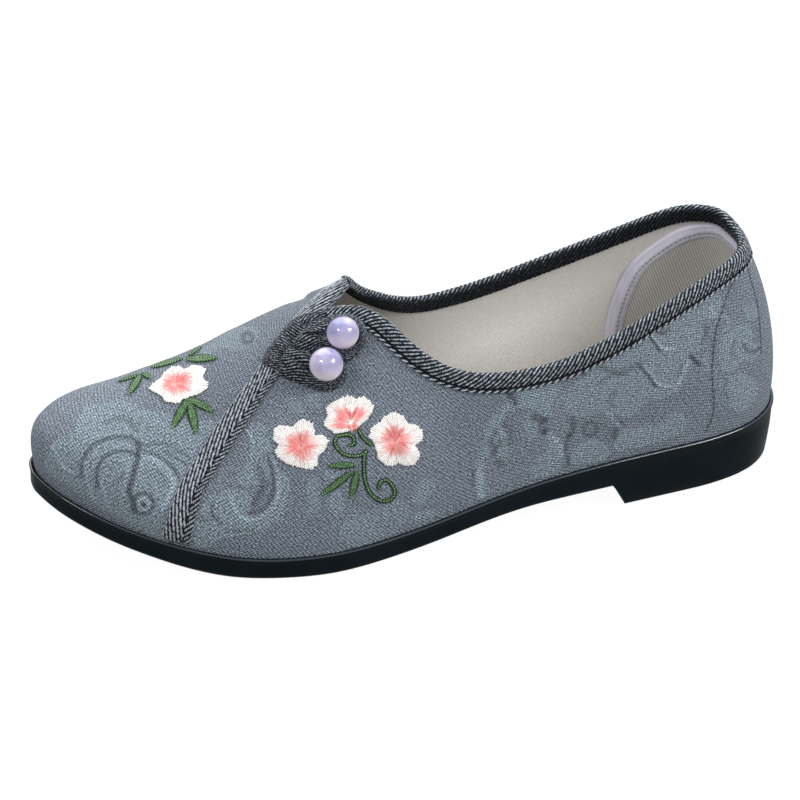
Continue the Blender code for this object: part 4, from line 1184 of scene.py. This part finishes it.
# Knot: strips of the twill tape folded into pleats, wound round the diagonal tape in three turns
# and led round each bead in a loop. Every strip is given by its two edges in pixels.
WRAP_TURNS = (((260, 362.5), (267.5, 348.5), (281, 371.5), (283, 357.5)),
              ((267.5, 348.5), (283, 329), (283, 357.5), (292.5, 347.5)),
              ((283, 329), (296, 315), (292.5, 347.5), (306, 329)))
UPPER_OUTER = ((303, 331.7), (308, 323), (318, 318), (330, 315), (338, 314), (350, 314.5),
               (360, 319), (366, 328), (367.5, 338), (363.5, 348), (357.5, 356), (349, 361.5))
UPPER_INNER = ((304, 332), (314, 331), (325, 329), (330, 323), (336, 319.5), (343, 318),
               (353, 321), (359, 327.5), (361.5, 336), (359.5, 342.5), (352, 347), (338, 348.5))
BETWEEN_TOP = ((296, 338), (303, 332.5), (313, 334), (322, 337), (328, 340), (334, 345),
               (342, 349))
BETWEEN_LOW = ((292.5, 347.5), (302, 350), (310, 352), (318, 349.5), (328, 347.5), (338, 351.5),
               (348, 358))
LOWER_TOP = ((283, 347), (288, 347.5), (295, 348), (305, 350.5), (313, 355))
LOWER_IN = ((284, 356), (288, 358), (293, 361), (302, 365), (311, 369))
LOWER_INNER = ((283, 356), (286, 357.5), (295, 362.5), (305, 370), (312, 376.5), (318, 379.6),
               (330, 381.5), (339, 377.5), (343, 371.5), (344.2, 364))
LOWER_OUTER = ((277, 371), (279, 374.6), (292, 381), (305, 386), (315, 389), (328, 391),
               (338, 388), (345, 381.5), (348, 372.5), (347.6, 362.5))
# The binding's own end, led from the notch under the wrap
TAIL_LOW = ((303, 332), (308, 323.5), (317, 318.5), (328, 316.5))
TAIL_HIGH = ((298, 317), (305, 314), (314, 312), (324, 310))
STRAND_STATIONS, STRAND_ROWS, PLEAT_STROKE, TUCK_DEPTH = 26, 64, 0.004, 2.5


def pleats(count):
    """Relief of a strip folded lengthwise into a number of pleats."""
    def relief(u, v, width):
        wander = 0.00012 * np.sin(u / 0.0013)
        folds = strokes(v - 0.4 * u + wander, u, width / count, PLEAT_STROKE)
        return RIB_HEIGHT * (0.7 * folds - 0.3)
    return relief


def strand(bm, low, high, low_lift, high_lift, count, crown=0.6, tuck=0):
    """A pleated strip between two edges, each with its lift in mm. It stands up by a crown in its
    middle, and its start may be tucked under over a number of stations."""
    low, high = evenly(low, STRAND_STATIONS), evenly(high, STRAND_STATIONS)
    knots = []
    for station, (a, b) in enumerate(zip(low, high)):
        raised = soft(station, -1, tuck) if tuck else 1
        lanes = [over_cloth(*a, 0)]
        for share in (0, 0.25, 0.5, 0.75, 1):
            lift = low_lift + (high_lift - low_lift) * share + crown * math.sin(math.pi * share)
            lanes.append(over_cloth(*(a + (b - a) * share), lift * raised))
        lanes.append(over_cloth(*b, max(high_lift - TUCK_DEPTH, 0) * raised))
        knots.append(lanes)
    ribbon(bm, knots, TAPE_STEP, STRAND_ROWS, back, pleats(count))


bm = bmesh.new()
for turn in WRAP_TURNS:
    low, high = (np.linspace(turn[k], turn[k + 2], 3) for k in (0, 1))
    strand(bm, low, high, 1.6, 1.6, 12, 1.0, 5)
place_piece("twill_knot_wrap", bm, tape_finish, "twill_tape", "knot_wrap")
bm = bmesh.new()
strand(bm, TAIL_LOW, TAIL_HIGH, 1.1, 1.3, 7, 0.3)
strand(bm, UPPER_OUTER, UPPER_INNER, 0.8, 3.6, 10)
strand(bm, BETWEEN_LOW, BETWEEN_TOP, 1.4, 2.8, 11, 1.2)
place_piece("twill_loop_upper", bm, tape_finish, "twill_tape", "loop_upper")
bm = bmesh.new()
strand(bm, LOWER_OUTER, LOWER_INNER, 0.8, 3.4, 10)
strand(bm, LOWER_IN, LOWER_TOP, 2.4, 1.8, 9, 1.1)
place_piece("twill_loop_lower", bm, tape_finish, "twill_tape", "loop_lower")


# Beads: two round beads of polished lilac resin, a little cloudy, sewn down inside the loops.
BEAD_CLOUD = 0.01 / 1.1
# Name, how far the sewn bead leans right and up from its solid in mm, and its share of the size
BEADS = (("upper", 0.6, 1.1, 0.95), ("lower", 0.4, 0.6, 0.99))
# Cast resin, tumbled to a high gloss: cloudy lilac, with a painted glow of light pooled in its
# lower half
bead_finish, tree, shader = material("lilac resin", "b0adca", 0.09, Subsurface_Weight=0.25,
                                     Subsurface_Scale=0.0015, IOR=1.56,
                                     Subsurface_Radius=(1, 0.8, 0.9))
place = node(tree, "TexCoord", out="Object")
cloud = node(tree, "TexNoise", {"Vector": place, "Scale": 1 / BEAD_CLOUD, "Detail": 2,
                                "Distortion": 0.6})
milk = node(tree, "MapRange", {"Value": cloud, "From Min": 0.4, "From Max": 0.62})
tint = node(tree, "MixRGB", {"Fac": milk, "Color1": linear("9895be"), "Color2": linear("c4bdd5")})
# Painted light: the colour turns a pale pink white towards the bead's bottom
low = node(tree, "Attribute", attribute_name="low")
painted_light_pool = node(tree, "MapRange", {"Value": low, "From Min": -0.4, "From Max": 0.5})
painted_glow = node(tree, "MixRGB", {"Fac": painted_light_pool, "Color1": tint, "Color2": linear("f6e9f3")})
feed(shader, Base_Color=painted_glow)

for name, lean_right, lean_up, share in BEADS:
    low, high = (Vector(corner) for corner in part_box("bead_" + name))
    middle = (low + high) / 2 + right * lean_right / 1000 + up * lean_up / 1000
    radius = (high - low).x / 2 * share
    bm = bmesh.new()
    bmesh.ops.create_uvsphere(bm, u_segments=64, v_segments=32, radius=radius,
                              matrix=Matrix.Translation(middle))
    depth = bm.verts.layers.float.new("low")
    for vert in bm.verts:
        vert[depth] = (middle.z - vert.co.z) / radius
    place_piece("resin_bead_" + name, bm, bead_finish, "bead_resin", "bead_" + name)


# Embroidery: five-petalled blossoms in satin stitch, cream at the rim and coral in the heart,
# with green leaves and curling stems, worked in glossy rayon thread on the finished cloth.
# Each blossom's centre and outline in pixels, and the share of the way out that its coral reaches
BLOSSOMS = (
    ((174.7, 382.5), ((148.7, 387.5), (155.7, 381), (161, 377), (164, 372), (171, 366.7),
                      (178, 366), (184, 369), (193, 364.5), (200.7, 365), (206, 370),
                      (202.5, 377), (207, 382), (207, 388), (201.6, 393.5), (188, 397),
                      (178, 403), (171, 403), (164, 401), (161, 395), (155, 393),
                      (150.5, 391)), 0.62),
    ((300.7, 446), ((273, 431), (277, 426), (287, 426), (293, 427), (297, 421), (304, 419),
                    (313, 423), (315, 431), (315, 435), (323, 435), (329, 441), (327, 447),
                    (323, 452), (318, 456), (318, 464), (313, 469), (306, 469.5), (293, 466),
                    (287, 464), (277, 457.5), (275, 450), (278, 445), (273, 438.5)), 0.62),
    ((395.7, 441.4), ((382.5, 419), (387, 414), (396.5, 412), (404, 416.6), (407, 423), (411, 424),
                      (419, 426), (424, 433), (422, 440.5), (415.5, 445.5), (420, 452), (419, 460),
                      (413, 466), (406, 466), (398.6, 463), (392, 467), (384, 464.5),
                      (377.5, 459), (376, 450), (374, 443), (368, 436), (371, 428), (376, 425)),
     0.62),
    ((348, 423), ((364, 422), (367.6, 419), (373, 410), (374, 406), (371, 401), (364, 396),
                  (358.5, 397.6), (355.6, 399), (353.5, 396.7), (348, 394.7), (341, 398),
                  (333, 402), (326, 407.5), (327.5, 415), (324, 422), (324, 426), (329.6, 430),
                  (334, 433.5), (341, 433), (351, 431), (357, 428)), 0),
)
# The fan-shaped blossom's coral lies round a white middle: its centre, outer edge and inner share
FAN_CORAL = ((351, 423), ((330, 428), (329, 421), (333, 415), (334, 407), (342, 403), (349, 407),
                          (353, 410), (358, 403), (366, 403), (370, 409), (366, 416), (359, 421),
                          (359, 428), (352, 432), (344, 429), (337, 431)), 0.2)
# Stems and leaves in pixels: a line of points, and base, tip and width
STEMS = (
    ((358, 428), (362.6, 437), (369, 443), (372.5, 446)),
    ((367.6, 449.6), (362, 454.6), (353.5, 456), (345, 454.6), (338.7, 449.6), (335, 443),
     (337, 437), (343, 435), (350, 435), (354, 439), (353.5, 444), (348.6, 446)),
    ((367, 449), (364.7, 456), (364, 468.6), (365, 479), (368, 489), (374, 497), (381.6, 501),
     (390, 500), (395, 493), (392, 485), (386.6, 480), (381.6, 481), (379, 486), (379.6, 490)),
)
STEM_WIDTH, LEAF_FULLNESS, STRIP_STEP = 4.6, 1.1, 0.45
FLECK_SIZE = 0.01 / 18
# Places across each petal stitch, rows from the heart outwards, and rows across a leaf
PER_STITCH, PETAL_ROWS, LEAF_ROWS = 4, 16, 8
LEAVES = (
    ((356.8, 465), (328.7, 466), 6.6), ((353.5, 471), (322, 495), 7.5),
    ((357.7, 470), (351, 499), 8),
    ((188.6, 398), (172, 428), 9), ((188.6, 398), (196.4, 434), 9.5),
    ((189, 398), (213.7, 411.7), 8), ((118, 381), (141, 373.6), 3),
    ((141, 374.5), (128.5, 394), 8), ((142, 373), (151.5, 377.5), 6),
    ((151, 367), (182.5, 358), 5), ((188.6, 355), (201.6, 346), 3.5),
    ((186, 359), (217, 357.5), 8),
)
SEED = 11
random.seed(SEED)


def corners_even(points, count):
    """Evenly spaced points along straight stretches between corners."""
    points = np.asarray(points, float)
    run = run_of(points)
    even = np.linspace(0, run[-1], count)
    return np.column_stack([np.interp(even, run, points[:, k]) for k in range(2)])


def blossom(bm, centre, outline, spread, top, jag, pitch, spikes=False):
    """Satin stitches from a heart to an outline, from one share of the way out to another: top is
    their lift in mm, jag how unevenly they end, and spikes have pointed tips that sink in."""
    ring = corners_even(list(outline) + [outline[0]], 400)
    count = int(run_of(ring)[-1] / pitch)
    ring = corners_even(ring, count * PER_STITCH + 1)
    radius = np.linalg.norm(ring - centre, axis=1)
    petal = np.clip((radius - radius.min()) / (radius.max() - radius.min()), 0, 1)
    ends = [random.uniform(-jag, jag) for _ in range(count)]
    tones = [random.uniform(-0.2, 0.1) * (2.5 if spikes else 1) for _ in range(count)]
    places = np.zeros((PETAL_ROWS + 1, len(ring), 3))
    flat, ridge = np.zeros(places[..., :2].shape), np.zeros(places.shape[:2])
    for column, tip in enumerate(ring):
        thread, across = divmod(column, PER_STITCH)
        round_top = math.sin(math.pi * across / PER_STITCH)
        end = spread[1] + (ends[thread % count] if across else -jag * 0.5)
        for row in range(PETAL_ROWS + 1):
            out = min(row / (PETAL_ROWS - 1), 1)
            share = spread[0] + (end - spread[0]) * out
            spot = centre + (tip - centre) * share
            lift = 0.15 + top * math.sin(math.pi * min(0.15 + 0.75 * share, 1)) ** 0.7
            lift += 0.25 * petal[column] * share + 0.12 * round_top * (0.3 + out)
            # Painted shade where each stitch meets the next, deeper towards the outline
            gap = (1 - round_top) * (0.25 + 0.75 * out)
            if spikes:
                lift += 0.12 - 0.10 * out ** 3 - 0.5 * (1 - round_top) * out ** 2
                gap *= 0.6
            if row == PETAL_ROWS:
                lift = lift - 0.3 if spikes else -0.1
            places[row, column] = over_cloth(*spot, lift)
            flat[row, column] = (column / PER_STITCH * 0.0004, share * 0.01)
            ridge[row, column] = 1.05 + tones[thread % count] - gap
            if spikes:
                ridge[row, column] -= 0.35 * math.sin(math.pi * out ** 0.7)
    lay_grid(bm, places, flat, back, ridge)


# Rayon thread in three colours, twisted loosely. Its colour follows each stitch's shape: a painted
# highlight along its back and painted shade where it meets the next, with random flecks painted as
# single hairs catching the light
silk_finishes = {}
for key, colour, dark in (("petal_thread", "fffefc", "b3a7a1"),
                          ("coral_thread", "ffd0ca", "f06a6c"),
                          ("leaf_thread", "7dab74", "05220b")):
    finish, tree, shader = material(key.replace("_", " ") + " rayon", colour, 0.45,
                                    Sheen_Weight=0.05, Anisotropic=0.4, IOR=1.35)
    place = node(tree, "TexCoord", out="Object")
    flecks = node(tree, "TexNoise", {"Vector": place, "Scale": 1 / FLECK_SIZE, "Detail": 2})
    painted_stitch_shade = node(tree, "Attribute", attribute_name="rib")
    vary = node(tree, "MapRange", {"Value": flecks, "From Min": 0.3, "From Max": 0.7,
                                   "To Min": -0.3, "To Max": 0.3})
    painted_shade_level = node(tree, "Math", {0: painted_stitch_shade, 1: vary}, operation="ADD", use_clamp=True)
    tint = node(tree, "MixRGB", {"Fac": painted_shade_level, "Color1": linear(dark), "Color2": linear(colour)})
    feed(shader, Base_Color=tint)
    silk_finishes[key] = finish

petals, hearts = bmesh.new(), bmesh.new()
for centre, outline, coral in BLOSSOMS:
    blossom(petals, np.array(centre), outline, (0.02, 1.0), 0.35, 0.04, 2.3)
    if coral:
        spokes = np.array(outline) - centre
        reach = np.linalg.norm(spokes, axis=1, keepdims=True)
        rounder = centre + spokes * (reach.mean() / reach) ** 0.6
        blossom(hearts, np.array(centre), rounder, (0.02, coral), 0.42, 0.16, 1.8, True)
centre, outline, inner = FAN_CORAL
blossom(hearts, np.array(centre), outline, (inner, 0.95), 0.45, 0.22, 1.7, True)
place_piece("embroidered_petals", petals, silk_finishes["petal_thread"], "petal_thread")
place_piece("embroidered_hearts", hearts, silk_finishes["coral_thread"], "coral_thread")


def stitched_strip(bm, line, widths, pitch, lean, vein):
    """A line of slanting satin stitches with a width in pixels at each of its points; on a leaf
    they meet in a sunken vein and end raggedly."""
    line = np.asarray(line, float)
    travel = np.gradient(line, axis=0)
    travel /= np.linalg.norm(travel, axis=1, keepdims=True)
    aside = np.column_stack([-travel[:, 1], travel[:, 0]])
    run = run_of(line)
    places = np.zeros((LEAF_ROWS + 1, len(line), 3))
    flat, ridge = np.zeros(places[..., :2].shape), np.zeros(places.shape[:2])
    for row in range(LEAF_ROWS + 1):
        share = row / LEAF_ROWS * 2 - 1
        rib = math.exp(-(share / 0.2) ** 2) if vein else 0
        # Painted shade of the strip's rounded sides, darker towards its edges and along a leaf's
        # sunken vein; the crest term below adds a painted highlight on each stitch
        shade = share ** 2 + 0.35 * rib if vein else 1.3 * abs(share)
        for column, spot in enumerate(line):
            half = widths[column] / 2
            phase = (run[column] - lean * abs(share) * half) / pitch
            crest = math.cos(phase * 2 * math.pi)
            at = spot + aside[column] * share * (half + (crest if vein else 0))
            lift = 0.15 + 0.4 * math.sqrt(max(1 - share * share, 0)) + 0.07 * crest - 0.18 * rib
            places[row, column] = over_cloth(*at, -0.1 if abs(share) == 1 else lift)
            flat[row, column] = (run[column] * PIXEL, share * 0.001)
            ridge[row, column] = 0.6 + 0.4 * crest - shade
    lay_grid(bm, places, flat, back, ridge)


bm = bmesh.new()
for line in STEMS:
    count = int(run_of(np.array(line, float))[-1] / STRIP_STEP)
    line = evenly(line, count)
    ends = np.minimum(np.arange(count), np.arange(count)[::-1]) * STRIP_STEP
    stitched_strip(bm, line, STEM_WIDTH * np.clip(0.35 + ends / 4, 0, 1), 2.8, 0.9, False)
for start, end, width in LEAVES:
    start, end = np.array(start), np.array(end)
    count = int(np.linalg.norm(end - start) / STRIP_STEP)
    share = np.linspace(0, 1, count)
    line = start + (end - start) * share[:, None]
    widths = width * np.sin(math.pi * np.clip(share * 0.92 + 0.05, 0, 1)) ** 0.75
    stitched_strip(bm, line, widths * LEAF_FULLNESS, 2.6, -0.9, True)
place_piece("embroidered_leaves", bm, silk_finishes["leaf_thread"], "leaf_thread")
